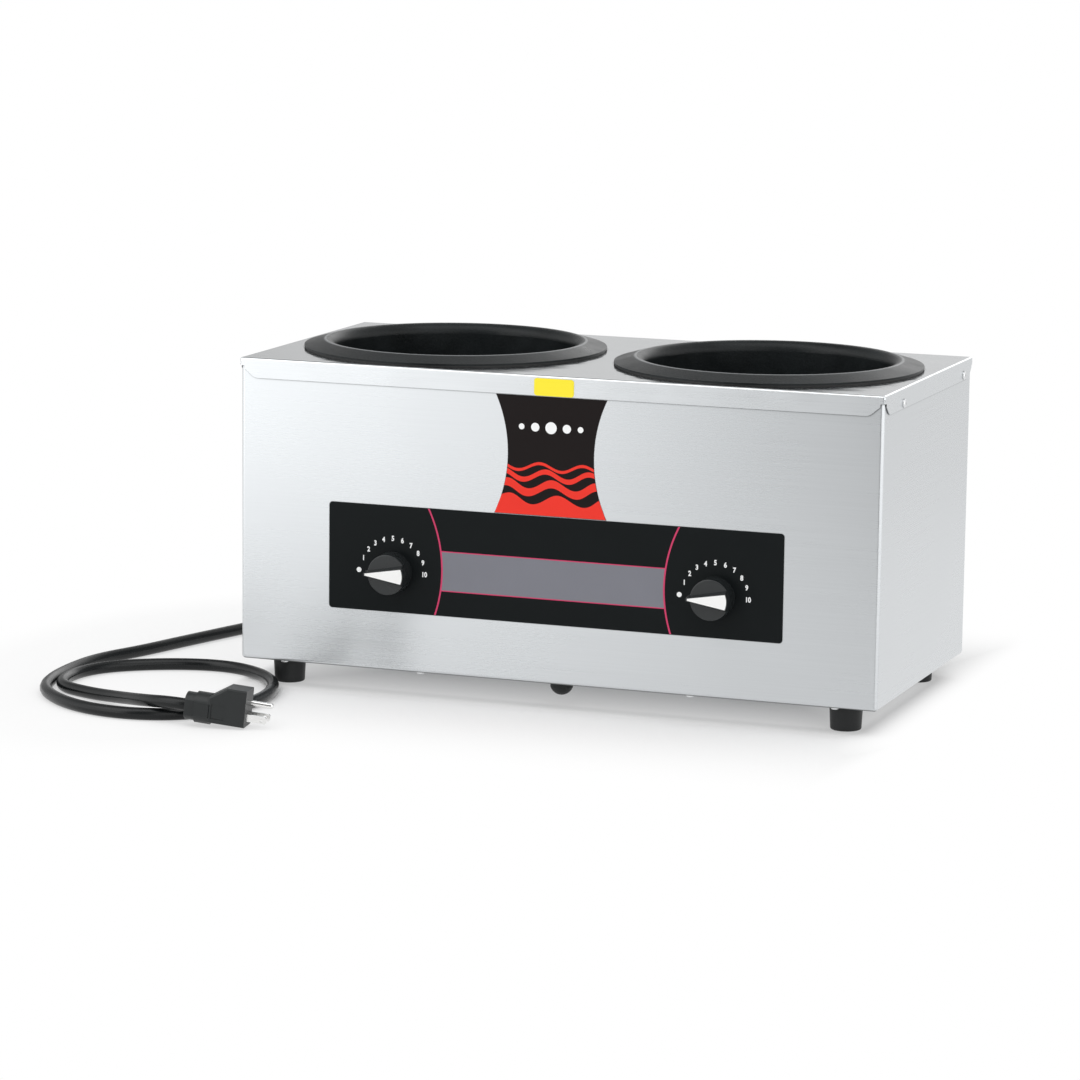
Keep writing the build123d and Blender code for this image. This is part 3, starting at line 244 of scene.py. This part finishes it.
def grained(name, colour, roughness, spread=0.12, size=0.8, bump=0.15, depth=0.05,
            painted_highlight=None, **sockets):
    """Plastic, rubber or paint: mottled colour, uneven gloss and a fine bumpy skin.
    size and depth are in millimetres. The last option, a mask and a colour, paints a highlight in that
    colour where the mask is 1."""
    surface = Surface(name, **sockets)
    fine = surface.noise(surface.stretched(*(3 * (1 / (size * MM),))), detail=3)
    broad = surface.noise(surface.stretched(*(3 * (BROAD_PATCHES,))), detail=2)
    both = surface.add("Math", fine, broad, operation="ADD")
    half = surface.add("Math", both, 0.5, operation="MULTIPLY")
    mottled = surface.ramp(half, (0.35, shade(colour, 1 - spread)), (0.65, shade(colour, 1 + spread)))
    # Painted highlight: the given colour mixed in where the mask is 1.
    if painted_highlight:
        mask, highlight_colour = painted_highlight
        mottled = surface.add("MixRGB", mask(surface), mottled, highlight_colour)
    surface.feed("colour", mottled)
    surface.feed("roughness", surface.ranged(broad, roughness - 0.05, roughness + 0.05))
    surface.feed("normal", surface.bump(fine, bump, depth * MM))
    return surface.material


def on_rim_crest(surface):
    """Mask for a painted highlight: 1 on the thin ring where a well's rim is highest, and 0 elsewhere.
    """
    parts = surface.add("SeparateXYZ", surface.place)
    side = surface.add("Math", surface.add("Math", parts.outputs[0], operation="ABSOLUTE"),
                       WELL_X, operation="SUBTRACT")
    along = surface.add("Math", parts.outputs[1], WELL_Y, operation="SUBTRACT")
    out = surface.add("VectorMath", surface.add("CombineXYZ", side, along, 0.0), operation="LENGTH")
    off = surface.add("Math", out.outputs["Value"], CREST_RADIUS, operation="SUBTRACT")
    away = surface.add("Math", off, operation="ABSOLUTE")
    ring = surface.add("MapRange", away, CREST_HIGHLIGHT_WIDTH / 2, CREST_HIGHLIGHT_WIDTH, 1.0, 0.0)
    raised = surface.add("MapRange", parts.outputs[2], DECK_TOP, DECK_TOP + MM, 0.0, 1.0)
    return surface.add("Math", ring, raised, operation="MULTIPLY")


def brushed(name, colour, roughness, grain, along, spread=0.02, anisotropic=0.6,
            bottom_shade_height=None, top_roughness=None, wave=0.0, wave_size=(60.0, 60.0, 60.0)):
    """Brushed sheet metal. grain scales the object's coordinates so that the streaks are
    long in one direction, and along is the direction across the streaks. Faces that look
    up may have a roughness of their own. Corners and creases get painted shade from ambient
    occlusion multiplied into the colour. A height, when given, is the case's bottom, above
    which a painted shade line darkens the bottom edge of faces that don't look sideways."""
    surface = Surface(name, metallic=1.0, anisotropic=anisotropic)
    streaks = surface.noise(grain(surface), detail=3, roughness=0.6)
    broad = surface.noise(surface.stretched(7.0, 7.0, 7.0), detail=1)
    streaked = surface.ramp(streaks, (0.3, shade(colour, 1 - spread)), (0.7, shade(colour, 1 + spread)))
    # Painted shade in the corners and creases of the metal.
    painted_shade = surface.crease(CREASE_REACH, CREASE_PAINTED_SHADE)
    # Painted shade: a dark line just above the case's bottom, on faces that don't look sideways, in
    # place of the shadow at the bottom bend.
    if bottom_shade_height is not None:
        height = surface.add("SeparateXYZ", surface.place).outputs[2]
        low = surface.add("MapRange", height, bottom_shade_height + BOTTOM_SHADE_DARK, bottom_shade_height + BOTTOM_SHADE_CLEAR, BOTTOM_SHADE_LEVEL, 1.0)
        sideways = surface.add("Math", surface.facing()[0], operation="ABSOLUTE")
        aside = surface.add("MapRange", sideways, 0.5, 0.8, 0.0, 1.0)
        edge = surface.add("Math", low, aside, operation="MAXIMUM")
        painted_shade = surface.add("Math", painted_shade, edge, operation="MULTIPLY")
    surface.feed("colour", surface.add("MixRGB", 1.0, streaked, painted_shade, blend_type="MULTIPLY"))
    mixed = surface.add("Math", streaks, broad, operation="ADD")
    if top_roughness is not None:
        up = surface.facing()[2]
        roughness = surface.add("MapRange", up, 0.3, 0.8, roughness, top_roughness)
    uneven = surface.ranged(mixed, -0.02, 0.02, 0.7, 1.3)
    surface.feed("roughness", surface.add("Math", roughness, uneven, operation="ADD"))
    scratched = surface.bump(streaks, 0.03, 0.01 * MM)
    if wave:
        swell = surface.noise(surface.stretched(*wave_size), detail=1.5)
        scratched = surface.bump(swell, 1.0, wave * MM, below=scratched)
    surface.feed("normal", scratched)
    surface.feed("tangent", surface.add("CombineXYZ", *along))
    return surface.material


def round_corner_grain(surface):
    """Streaks that run level round the case: x + y along them, z across."""
    parts = surface.add("SeparateXYZ", surface.place)
    level = surface.add("Math", parts.outputs[0], parts.outputs[1], operation="ADD")
    run = surface.add("Math", level, STREAKS_ALONG, operation="MULTIPLY")
    across = surface.add("Math", parts.outputs[2], STREAKS_ACROSS, operation="MULTIPLY")
    return surface.add("CombineXYZ", run, 0.0, across)


def grain_along_x(surface):
    return surface.stretched(STREAKS_ALONG, STREAKS_ACROSS, STREAKS_ACROSS)


def plain_metal(name, colour, roughness, spread=0.06):
    surface = Surface(name, metallic=1.0)
    mottle = surface.noise(surface.stretched(180.0, 180.0, 180.0), detail=3)
    surface.feed("colour", surface.ramp(mottle, (0.3, shade(colour, 1 - spread)),
                                        (0.7, shade(colour, 1 + spread))))
    surface.feed("roughness", surface.ranged(mottle, roughness - 0.05, roughness + 0.05))
    surface.feed("normal", surface.bump(mottle, 0.2, 0.02 * MM))
    return surface.material


def fibre_blanket():
    """Glass fibre: matted yellow strands."""
    colour = from_screen(236, 220, 150)
    surface = Surface("glass_fibre", specular=0.1)
    strands = surface.noise(surface.stretched(160.0, 160.0, 500.0), detail=6, roughness=0.7)
    surface.feed("colour", surface.ramp(strands, (0.3, shade(colour, 0.7)), (0.7, shade(colour, 1.1))))
    surface.feed("roughness", 0.95)
    surface.feed("normal", surface.bump(strands, 0.8, 1.5 * MM))
    return surface.material


CASE_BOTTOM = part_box("case_wrap")[0].z
WELL_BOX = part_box("well_left")
WELL_X = -(WELL_BOX[0].x + WELL_BOX[1].x) / 2
WELL_Y = (WELL_BOX[0].y + WELL_BOX[1].y) / 2
# Radius and width of the painted highlight ring on each well's crest, and the crest's height above the
# deck.
CREST_RADIUS = 117.5 * MM
CREST_HIGHLIGHT_WIDTH = 1.6 * MM
CREST_ABOVE_DECK = 8.0 * MM
DECK_TOP = WELL_BOX[1].z - CREST_ABOVE_DECK

STEEL = (0.60, 0.62, 0.635, 1.0)
DECK_STEEL = (0.64, 0.66, 0.675, 1.0)

MATERIALS = {
    # The case's steel carries a painted shade line along its bottom edge.
    "stainless": brushed("brushed_stainless", STEEL, 0.28, round_corner_grain, (0, 0, 1),
                         spread=0.02, anisotropic=0.85, bottom_shade_height=CASE_BOTTOM),
    "stainless_deck": brushed("deck_stainless", DECK_STEEL, 0.28, grain_along_x, (0, 0.7, 0.7),
                              spread=0.03, anisotropic=0.2, top_roughness=0.09,
                              wave=0.4, wave_size=(12.0, 40.0, 40.0)),
    "base_steel": plain_metal("galvanised_steel", (0.5, 0.51, 0.52, 1), 0.45),
    # The wells' rims carry a lighter ring on the crest, a painted highlight.
    "well_black": grained("well_coating", (0.0100, 0.0122, 0.0130, 1), 0.32, spread=0.5,
                          size=1.2, bump=0.8, depth=0.2, specular=0.18,
                          painted_highlight=(on_rim_crest, (0.17, 0.178, 0.182, 1))),
    "seal_rubber": grained("seal_rubber", (0.02, 0.02, 0.02, 1), 0.5),
    "overlay_black": grained("overlay_print", (0.0070, 0.0088, 0.0094, 1), 0.34, spread=0.05,
                             size=0.4, bump=0.08, depth=0.02, specular=0.08),
    "decal_black": grained("decal_print", (0.0125, 0.0095, 0.0095, 1), 0.34, spread=0.05,
                           size=0.4, bump=0.08, depth=0.02, specular=0.08),
    "label_yellow": grained("label_vinyl", (1.0, 0.83, 0.034, 1), 0.4, spread=0.01,
                            bump=0.05, specular=0.35),
    "knob_plastic": grained("knob_plastic", (0.016, 0.0185, 0.0195, 1), 0.26, spread=0.1,
                            size=0.3, bump=0.15, depth=0.02, specular=0.45),
    "pointer_white": grained("pointer_white", (0.93, 0.93, 0.92, 1), 0.4, spread=0.01,
                             bump=0.05),
    "screw_steel": plain_metal("screw_steel", (0.72, 0.73, 0.74, 1), 0.25),
    "foot_rubber": grained("foot_rubber", (0.012, 0.013, 0.0135, 1), 0.5, spread=0.15,
                           bump=0.3, specular=0.3),
    "cord_rubber": grained("cord_jacket", (0.007, 0.0083, 0.0088, 1), 0.26, spread=0.12,
                           size=1.2, bump=0.15, depth=0.08, specular=0.28),
    "plug_plastic": grained("plug_vinyl", (0.018, 0.0205, 0.021, 1), 0.42, spread=0.12,
                            size=0.6, bump=0.25, depth=0.06, specular=0.35),
    "plug_metal": plain_metal("plug_nickel", (0.82, 0.82, 0.81, 1), 0.2, spread=0.03),
    "element_steel": plain_metal("element_sheath", (0.20, 0.19, 0.18, 1), 0.5, spread=0.2),
    "plate_steel": plain_metal("plate_steel", (0.5, 0.5, 0.5, 1), 0.4),
    "thermostat_body": grained("thermostat_body", (0.42, 0.34, 0.22, 1), 0.6, spread=0.1),
    "shaft_steel": plain_metal("shaft_steel", (0.62, 0.62, 0.61, 1), 0.25),
    "copper": plain_metal("copper_tube", (0.78, 0.42, 0.27, 1), 0.3, spread=0.12),
    "fibre": fibre_blanket(),
    "block_white": grained("block_white", (0.75, 0.73, 0.68, 1), 0.55, spread=0.04),
    "brass": plain_metal("plain_brass", (0.75, 0.56, 0.25, 1), 0.3, spread=0.1),
    "wire_black": grained("wire_black", (0.015, 0.015, 0.015, 1), 0.45),
    "wire_red": grained("wire_red", (0.42, 0.02, 0.015, 1), 0.45, spread=0.06),
    "wire_white": grained("wire_white", (0.75, 0.74, 0.71, 1), 0.45, spread=0.03),
    "wire_green": grained("wire_green", (0.02, 0.18, 0.04, 1), 0.45, spread=0.06),
}
PRINT_WHITE = grained("print_white", (0.93, 0.94, 0.94, 1), 0.4, spread=0.01, bump=0.05,
                      specular=0.2)
PRINT_PINK = grained("print_pink", from_screen(205, 62, 104), 0.4, spread=0.03, bump=0.05,
                     specular=0.2)
PRINT_GREY = grained("print_grey", from_screen(124, 125, 133), 0.4, spread=0.02, bump=0.05,
                     specular=0.2)
PRINT_RED = grained("print_red", from_screen(238, 54, 41), 0.4, spread=0.02, bump=0.05,
                    specular=0.2)


def dress(thing, material):
    thing.data.materials.clear()
    thing.data.materials.append(material)


def slots_by_node():
    """The record's material slot of each CAD node."""
    return {row["node"]: row["material_slot"] for row in frame["record"]["subparts"]}


NODE_SLOTS = slots_by_node()
for name, thing in nodes.items():
    dress(thing, MATERIALS[NODE_SLOTS[name]])
dress(cord, MATERIALS["cord_rubber"])


# Prints on the front

SINK = 0.02 * MM
PROUD = 0.03 * MM
OVERLAY_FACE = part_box("control_overlay")[0].y
DECAL_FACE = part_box("front_decal")[0].y


def add_mesh(name, made, material, body="root"):
    data = bpy.data.meshes.new(name)
    bmesh.ops.recalc_face_normals(made, faces=made.faces)
    made.to_mesh(data)
    made.free()
    thing = bpy.data.objects.new(name, data)
    scene.collection.objects.link(thing)
    dress(thing, material)
    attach(thing, body)
    return thing


def band_into(made, one_side, other_side, face):
    """Adds a thin printed band between two rows of (x, z) points, just proud of face."""
    front, back = face - PROUD, face + SINK
    rings = []
    for (ax, az), (bx, bz) in zip(one_side, other_side):
        places = [(ax, front, az), (bx, front, bz), (bx, back, bz), (ax, back, az)]
        rings.append([made.verts.new(place) for place in places])
    for ring, following in zip(rings, rings[1:]):
        for i in range(4):
            j = (i + 1) % 4
            made.faces.new((ring[i], ring[j], following[j], following[i]))
    made.faces.new(rings[0])
    made.faces.new(rings[-1])


def disc_into(made, x, z, radius, face, sides=32):
    turns = [2 * math.pi * i / sides for i in range(sides)]
    rim = [(x + radius * math.cos(t), z + radius * math.sin(t)) for t in turns]
    front = [made.verts.new((px, face - PROUD, pz)) for px, pz in rim]
    back = [made.verts.new((px, face + SINK, pz)) for px, pz in rim]
    made.faces.new(front)
    made.faces.new(back)
    for i in range(sides):
        j = (i + 1) % sides
        made.faces.new((front[i], front[j], back[j], back[i]))


def circle_through(a, b, c):
    """Centre and radius of the circle through three (x, z) points."""
    ax, az = a
    bx, bz = b
    cx, cz = c
    d = 2 * (ax * (bz - cz) + bx * (cz - az) + cx * (az - bz))
    a2, b2, c2 = ax * ax + az * az, bx * bx + bz * bz, cx * cx + cz * cz
    x = (a2 * (bz - cz) + b2 * (cz - az) + c2 * (az - bz)) / d
    z = (a2 * (cx - bx) + b2 * (ax - cx) + c2 * (bx - ax)) / d
    return x, z, math.hypot(ax - x, az - z)


OVERLAY_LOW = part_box("control_overlay")[0].z
OVERLAY_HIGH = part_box("control_overlay")[1].z
BOW_TOP = 115.4 * MM
BOW_WAIST = 102.3 * MM
BOW_BOTTOM = 108.9 * MM
BOW_WAIST_HEIGHT = CASE_BOTTOM + 92.0 * MM
BOW_WIDTH = 1.5 * MM
BAND_LOW = CASE_BOTTOM + 74.6 * MM
BAND_HIGH = CASE_BOTTOM + 110.4 * MM
BAND_EDGE = 0.9 * MM
BAND_STEPS = 16
BOW_INSET = 0.4 * MM
BOW_STEPS = 40


def bow_x(z, circle, side, shift=0.0):
    """The x of the bowed line on that side of the overlay at height z."""
    x, centre_z, radius = circle
    return side * (x - math.sqrt((radius + shift) ** 2 - (z - centre_z) ** 2))


def bow_circle():
    """The circle of the right-hand bow, which bulges towards the middle."""
    top = (BOW_TOP, OVERLAY_HIGH)
    waist = (BOW_WAIST, BOW_WAIST_HEIGHT)
    bottom = (BOW_BOTTOM, OVERLAY_LOW)
    return circle_through(top, waist, bottom)


def steps(low, high, count):
    return [low + (high - low) * i / count for i in range(count + 1)]


def make_overlay_print():
    circle = bow_circle()
    heights = steps(OVERLAY_LOW + BOW_INSET, OVERLAY_HIGH - BOW_INSET, BOW_STEPS)
    band = bmesh.new()
    inner = steps(BAND_LOW + BAND_EDGE, BAND_HIGH - BAND_EDGE, BAND_STEPS)
    reach = BOW_WIDTH / 2
    band_into(band, [(bow_x(z, circle, -1, reach), z) for z in inner],
              [(bow_x(z, circle, 1, reach), z) for z in inner], OVERLAY_FACE)
    add_mesh("overlay_grey_band", band, PRINT_GREY)
    lines = bmesh.new()
    for side in (-1, 1):
        band_into(lines, [(bow_x(z, circle, side, -reach), z) for z in heights],
                  [(bow_x(z, circle, side, reach), z) for z in heights], OVERLAY_FACE)
    for low in (BAND_LOW, BAND_HIGH - BAND_EDGE):
        levels = steps(low, low + BAND_EDGE, 1)
        band_into(lines, [(bow_x(z, circle, -1, reach), z) for z in levels],
                  [(bow_x(z, circle, 1, reach), z) for z in levels], OVERLAY_FACE)
    add_mesh("overlay_pink_lines", lines, PRINT_PINK)


# Dial numbers

DIAL_HEIGHT = 110.8 * MM
DIAL_X = 148.5 * MM
NUMBER_RADIUS = 30.0 * MM
NUMBER_SIZE = 6.1 * MM
NUMBER_NARROWING = 0.86
NUMBER_BOLDNESS = 0.23 * MM
NUMBER_TURNS = [158.5, 140.5, 124, 107.5, 90.5, 73, 55.5, 38, 20, 0]
DOT_RADIUS = 32.2 * MM
DOT_SIZE = 2.25 * MM


def number_mesh(words):
    """A flat numeral as a thin mesh, its middle at the origin, facing -y."""
    data = bpy.data.curves.new("numeral", "FONT")
    data.body = words
    data.size = NUMBER_SIZE
    data.extrude = (PROUD + SINK) / 2
    data.offset = NUMBER_BOLDNESS
    data.align_x = "CENTER"
    data.align_y = "CENTER"
    data.resolution_u = 6
    words_object = bpy.data.objects.new("numeral", data)
    scene.collection.objects.link(words_object)
    graph = bpy.context.evaluated_depsgraph_get()
    mesh = bpy.data.meshes.new_from_object(words_object.evaluated_get(graph))
    bpy.data.objects.remove(words_object)
    xs = [v.co.x for v in mesh.vertices]
    ys = [v.co.y for v in mesh.vertices]
    middle = Vector(((min(xs) + max(xs)) / 2, (min(ys) + max(ys)) / 2, 0))
    mesh.transform(Matrix.Translation(-middle))
    mesh.transform(Matrix.Diagonal((NUMBER_NARROWING, 1, 1, 1)))
    mesh.transform(Matrix.Rotation(math.pi / 2, 4, "X"))
    return mesh


def make_dial(side, name):
    made = bmesh.new()
    centre_x = side * DIAL_X
    depth = OVERLAY_FACE + (SINK - PROUD) / 2
    for number, degrees in enumerate(NUMBER_TURNS, start=1):
        turn = math.radians(degrees)
        mesh = number_mesh(str(number))
        mesh.transform(Matrix.Translation((centre_x + NUMBER_RADIUS * math.cos(turn), depth,
                                           DIAL_HEIGHT + NUMBER_RADIUS * math.sin(turn))))
        made.from_mesh(mesh)
    disc_into(made, centre_x - DOT_RADIUS, DIAL_HEIGHT, DOT_SIZE, OVERLAY_FACE)
    bmesh.ops.remove_doubles(made, verts=made.verts, dist=1e-7)
    add_mesh(name, made, PRINT_WHITE)


# Decal design

DECAL_TOP_HALF = 50.9 * MM
DECAL_WAIST_HALF = 39.5 * MM
DECAL_BOTTOM_HALF = 51.5 * MM
DECAL_WAIST_RISE = 56.1 * MM
DECAL_SHIFT = -2.6 * MM
DECAL_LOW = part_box("front_decal")[0].z
DECAL_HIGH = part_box("front_decal")[1].z
DECAL_EDGE = 0.25 * MM
DECAL_STEPS = 72
WAVE_LOBES = 2.0
# Waves: height, or lower and upper height, then swing and phase. Dots: place and radius.
LOWEST_WAVE = (14.0, 4.5, 0.10)
WAVE_BANDS = [(20.5, 27.5, 4.2, 0.22), (32.5, 37.0, 3.8, 0.36), (41.0, 43.6, 3.2, 0.50)]
DOTS = [(-27, 2.6), (-14.5, 3.8), (0, 5.2), (14.5, 3.8), (27, 2.6)]
DOTS_BELOW_TOP = 27 * MM


def decal_half_width(z):
    circle = circle_through((DECAL_TOP_HALF, DECAL_HIGH),
                            (DECAL_WAIST_HALF, DECAL_LOW + DECAL_WAIST_RISE),
                            (DECAL_BOTTOM_HALF, DECAL_LOW))
    x, centre_z, radius = circle
    return x - math.sqrt(radius ** 2 - (z - centre_z) ** 2) - DECAL_EDGE


def wave_line(height, swing, phase):
    """A wavy line right across the decal, from edge to edge. height and swing are in
    millimetres, the height above the decal's lower edge."""
    row = []
    for t in steps(0.0, 1.0, DECAL_STEPS):
        z = DECAL_LOW + height * MM + swing * MM * math.sin(2 * math.pi * (WAVE_LOBES * t + phase))
        row.append((DECAL_SHIFT + decal_half_width(z) * (2 * t - 1), z))
    return row


def make_decal_print():
    low = DECAL_LOW + DECAL_EDGE
    made = bmesh.new()
    half = decal_half_width(low)
    lowest = [(DECAL_SHIFT + half * (2 * t - 1), low) for t in steps(0.0, 1.0, DECAL_STEPS)]
    band_into(made, lowest, wave_line(*LOWEST_WAVE), DECAL_FACE)
    for bottom, top, swing, phase in WAVE_BANDS:
        band_into(made, wave_line(bottom, swing, phase), wave_line(top, swing, phase), DECAL_FACE)
    add_mesh("decal_red_waves", made, PRINT_RED)
    dots = bmesh.new()
    row_height = DECAL_HIGH - DOTS_BELOW_TOP
    for place, size in DOTS:
        disc_into(dots, DECAL_SHIFT + place * MM, row_height, size * MM, DECAL_FACE, sides=48)
    add_mesh("decal_white_dots", dots, PRINT_WHITE)


make_overlay_print()
make_dial(-1, "dial_numbers_left")
make_dial(1, "dial_numbers_right")
make_decal_print()


# Floor, world and lamps

FLOOR_RADIUS = 1.15
FLOOR_ALBEDO = 0.82
SHADOW_REACH = 0.24
SIDE_FACTOR = 8.0
UNDER_DEEP = 0.14
UNDER_EDGE = 0.41
MIRROR_LIFT = 0.6
# Distances past the edge of the case's footprint, negative inside it.
DEEP_INSIDE = -0.10
EDGE_INSIDE = -0.02
EDGE_OUTSIDE = 0.015
BESIDE_START = 0.255
BESIDE_END = 0.312
BESIDE_FRONT = -0.26
BESIDE_BACK = -0.14
CORD_PATCH_CENTRE = (-0.35, -0.08, 0.0)
CORD_PATCH_SCALE = (1 / 0.18, 1 / 0.30, 0.0)
CORD_PATCH_SHARE = 0.55
CORD_PATCH_FADE = 1.4
FOOTPRINT_HALF_X = 0.288
FOOTPRINT_HALF_Y = 0.136
FOOTPRINT_Y = 0.0092
LAMPS_AIM_HEIGHT = 0.15
WORLD_STRENGTH = 0.84
BRIGHTEST = 3.0
CEILING = 0.6
STUDIO = [
    (-180, 0.88), (-160, 0.70), (-150, 0.45), (-125, 0.45), (-100, 1.0), (-60, 1.7),
    (-30, 2.2), (-22, 1.8), (-14, 0.20), (0, 0.20), (8, 0.25), (18, 1.4), (50, 1.7),
    (90, 1.7), (135, 1.3), (160, 0.9), (180, 0.88),
]
CEILING_FROM = 0.35
CEILING_TO = 0.70
BACK_STRIP = 1.3
BACK_STRIP_BEHIND = (0.86, 0.91)
BACK_STRIP_ABOVE = (0.20, 0.27)


def white_share(surface, share):
    """The share of plain white that each kind of ray meets on the floor: none for diffuse
    rays, share for the camera, and at least MIRROR_LIFT in what the metal reflects."""
    path = surface.add("LightPath").outputs
    mirrored = surface.add("Math", path["Is Glossy Ray"], path["Is Transmission Ray"],
                           operation="MAXIMUM")
    lifted = surface.add("Math", mirrored, MIRROR_LIFT, operation="MULTIPLY")
    either = surface.add("Math", share, lifted, operation="MAXIMUM")
    direct = surface.add("Math", mirrored, path["Is Camera Ray"], operation="MAXIMUM")
    return surface.add("Math", either, direct, operation="MULTIPLY")


def beyond_footprint(surface):
    """How far a floor point lies outside the case's footprint, with sideways distances
    counted SIDE_FACTOR times, and its plain distance past the edge, negative inside."""
    parts = surface.add("SeparateXYZ", surface.place)
    past = []
    for output, centre, half in ((0, 0.0, FOOTPRINT_HALF_X), (1, FOOTPRINT_Y, FOOTPRINT_HALF_Y)):
        moved = surface.add("Math", parts.outputs[output], centre, operation="SUBTRACT")
        size = surface.add("Math", moved, operation="ABSOLUTE")
        past.append(surface.add("Math", size, half, operation="SUBTRACT"))
    away = [surface.add("Math", side, 0.0, operation="MAXIMUM") for side in past]
    sideways = surface.add("Math", away[0], SIDE_FACTOR, operation="MULTIPLY")
    both = surface.add("CombineXYZ", sideways, away[1], 0.0)
    edge = surface.add("Math", *past, operation="MAXIMUM")
    return surface.add("VectorMath", both, operation="LENGTH").outputs["Value"], edge


def share_beside(surface):
    """The share of white on the floor to the right of the case, and 0 elsewhere."""
    parts = surface.add("SeparateXYZ", surface.place)
    right = surface.add("MapRange", parts.outputs[0], BESIDE_START, BESIDE_END, 0.0, 1.0,
                        interpolation_type="SMOOTHSTEP")
    back = surface.add("MapRange", parts.outputs[1], BESIDE_FRONT, BESIDE_BACK, 0.0, 1.0,
                       interpolation_type="SMOOTHSTEP")
    return surface.add("Math", right, back, operation="MULTIPLY")


def share_near_cord(surface):
    """1 on the open floor, and less round the cord, where its shadow shows."""
    moved = surface.add("VectorMath", surface.place, CORD_PATCH_CENTRE, operation="SUBTRACT")
    scaled = surface.add("VectorMath", moved, CORD_PATCH_SCALE, operation="MULTIPLY")
    out = surface.add("VectorMath", scaled, operation="LENGTH").outputs["Value"]
    return surface.add("MapRange", out, 1.0, CORD_PATCH_FADE, CORD_PATCH_SHARE, 1.0,
                       interpolation_type="SMOOTHSTEP")


def make_floor():
    made = bmesh.new()
    bmesh.ops.create_circle(made, cap_ends=True, segments=96, radius=FLOOR_RADIUS)
    data = bpy.data.meshes.new("floor")
    made.to_mesh(data)
    made.free()
    floor = bpy.data.objects.new("floor", data)
    scene.collection.objects.link(floor)
    surface = Surface("floor_white", specular=0.0, roughness=1.0)
    surface.feed("colour", (FLOOR_ALBEDO, FLOOR_ALBEDO, FLOOR_ALBEDO, 1))
    away, edge = beyond_footprint(surface)
    clear = surface.add("MapRange", away, 0.0, SHADOW_REACH, 0.0, 1.0,
                        interpolation_type="SMOOTHSTEP")
    open_floor = surface.add("Math", clear, share_near_cord(surface), operation="MINIMUM")
    deep = surface.add("MapRange", edge, DEEP_INSIDE, EDGE_INSIDE, UNDER_DEEP, UNDER_EDGE)
    rim = surface.add("MapRange", edge, EDGE_INSIDE, EDGE_OUTSIDE, UNDER_EDGE, 0.0)
    under = surface.add("Math", deep, rim, operation="MINIMUM")
    shaded = surface.add("Math", open_floor, under, operation="MAXIMUM")
    share = surface.add("Math", shaded, share_beside(surface), operation="MAXIMUM")
    white = surface.add("Emission", (1, 1, 1, 1), 1.0)
    mix = surface.add("MixShader", white_share(surface, share), surface.shader.outputs[0], white)
    surface.join(surface.tree.nodes["Material Output"].inputs["Surface"], mix)
    dress(floor, surface.material)


def make_world():
    """White to the camera; softboxes round the object in what its metal reflects."""
    world = bpy.data.worlds.new("studio")
    world.use_nodes = True
    scene.world = world
    tree = world.node_tree
    background = tree.nodes["Background"]
    background.inputs["Color"].default_value = (1, 1, 1, 1)

    def add(kind, *inputs, **settings):
        node = tree.nodes.new("ShaderNode" + kind)
        for name, value in settings.items():
            setattr(node, name, value)
        for socket, value in zip(node.inputs, inputs):
            if isinstance(value, bpy.types.NodeSocket):
                tree.links.new(value, socket)
            else:
                socket.default_value = value
        return node

    direction = add("SeparateXYZ", add("TexCoord").outputs["Generated"])
    ahead = add("Math", direction.outputs[1], -1.0, operation="MULTIPLY")
    turn = add("Math", direction.outputs[0], ahead.outputs[0], operation="ARCTAN2")
    place = add("MapRange", turn.outputs[0], -math.pi, math.pi, 0.0, 1.0)
    ramp = add("ValToRGB", place.outputs[0])
    ramp.color_ramp.interpolation = "EASE"
    elements = ramp.color_ramp.elements
    while len(elements) < len(STUDIO):
        elements.new(0.5)
    for element, (degrees, level) in zip(elements, STUDIO):
        element.position = degrees / 360 + 0.5
        part = level / BRIGHTEST
        element.color = (part, part, part, 1.0)
    dimming = add("MapRange", direction.outputs[2], CEILING_FROM, CEILING_TO,
                  BRIGHTEST, BRIGHTEST * CEILING)
    around = add("Math", ramp.outputs[0], dimming.outputs[0], operation="MULTIPLY")
    behind = add("MapRange", direction.outputs[1], *BACK_STRIP_BEHIND, 0.0, BACK_STRIP)
    raised = add("MapRange", direction.outputs[2], *BACK_STRIP_ABOVE, 0.0, 1.0)
    strip = add("Math", behind.outputs[0], raised.outputs[0], operation="MULTIPLY")
    softboxes = add("Math", around.outputs[0], strip.outputs[0], operation="ADD")
    path = add("LightPath")
    mirrored = add("Math", path.outputs["Is Glossy Ray"], path.outputs["Is Transmission Ray"],
                   operation="MAXIMUM")
    diffuse = add("MapRange", path.outputs["Is Camera Ray"], 0.0, 1.0, WORLD_STRENGTH, 1.0)
    strength = add("Mix", mirrored.outputs[0], data_type="FLOAT")
    tree.links.new(diffuse.outputs[0], strength.inputs["A"])
    tree.links.new(softboxes.outputs[0], strength.inputs["B"])
    tree.links.new(strength.outputs["Result"], background.inputs["Strength"])


def make_lamp(name, azimuth, elevation, distance, width, height, power):
    """A soft lamp that faces the object. Azimuth 0 is in front, 90 at its right."""
    data = bpy.data.lights.new(name, "AREA")
    data.shape = "RECTANGLE"
    data.size = width
    data.size_y = height
    data.energy = power
    lamp = bpy.data.objects.new(name, data)
    turn, rise = math.radians(azimuth), math.radians(elevation)
    place = Vector((math.sin(turn) * math.cos(rise), -math.cos(turn) * math.cos(rise),
                    math.sin(rise))) * distance
    lamp.location = place + Vector((0, 0, LAMPS_AIM_HEIGHT))
    lamp.rotation_mode = "QUATERNION"
    lamp.rotation_quaternion = place.to_track_quat("Z", "Y")
    scene.collection.objects.link(lamp)


make_floor()
make_world()
make_lamp("key", azimuth=-50, elevation=45, distance=3.0, width=2.2, height=2.0, power=16.0)
make_lamp("top", azimuth=20, elevation=72, distance=3.0, width=2.6, height=2.6, power=24.0)
scene.view_settings.view_transform = "Standard"

bpy.context.view_layer.update()
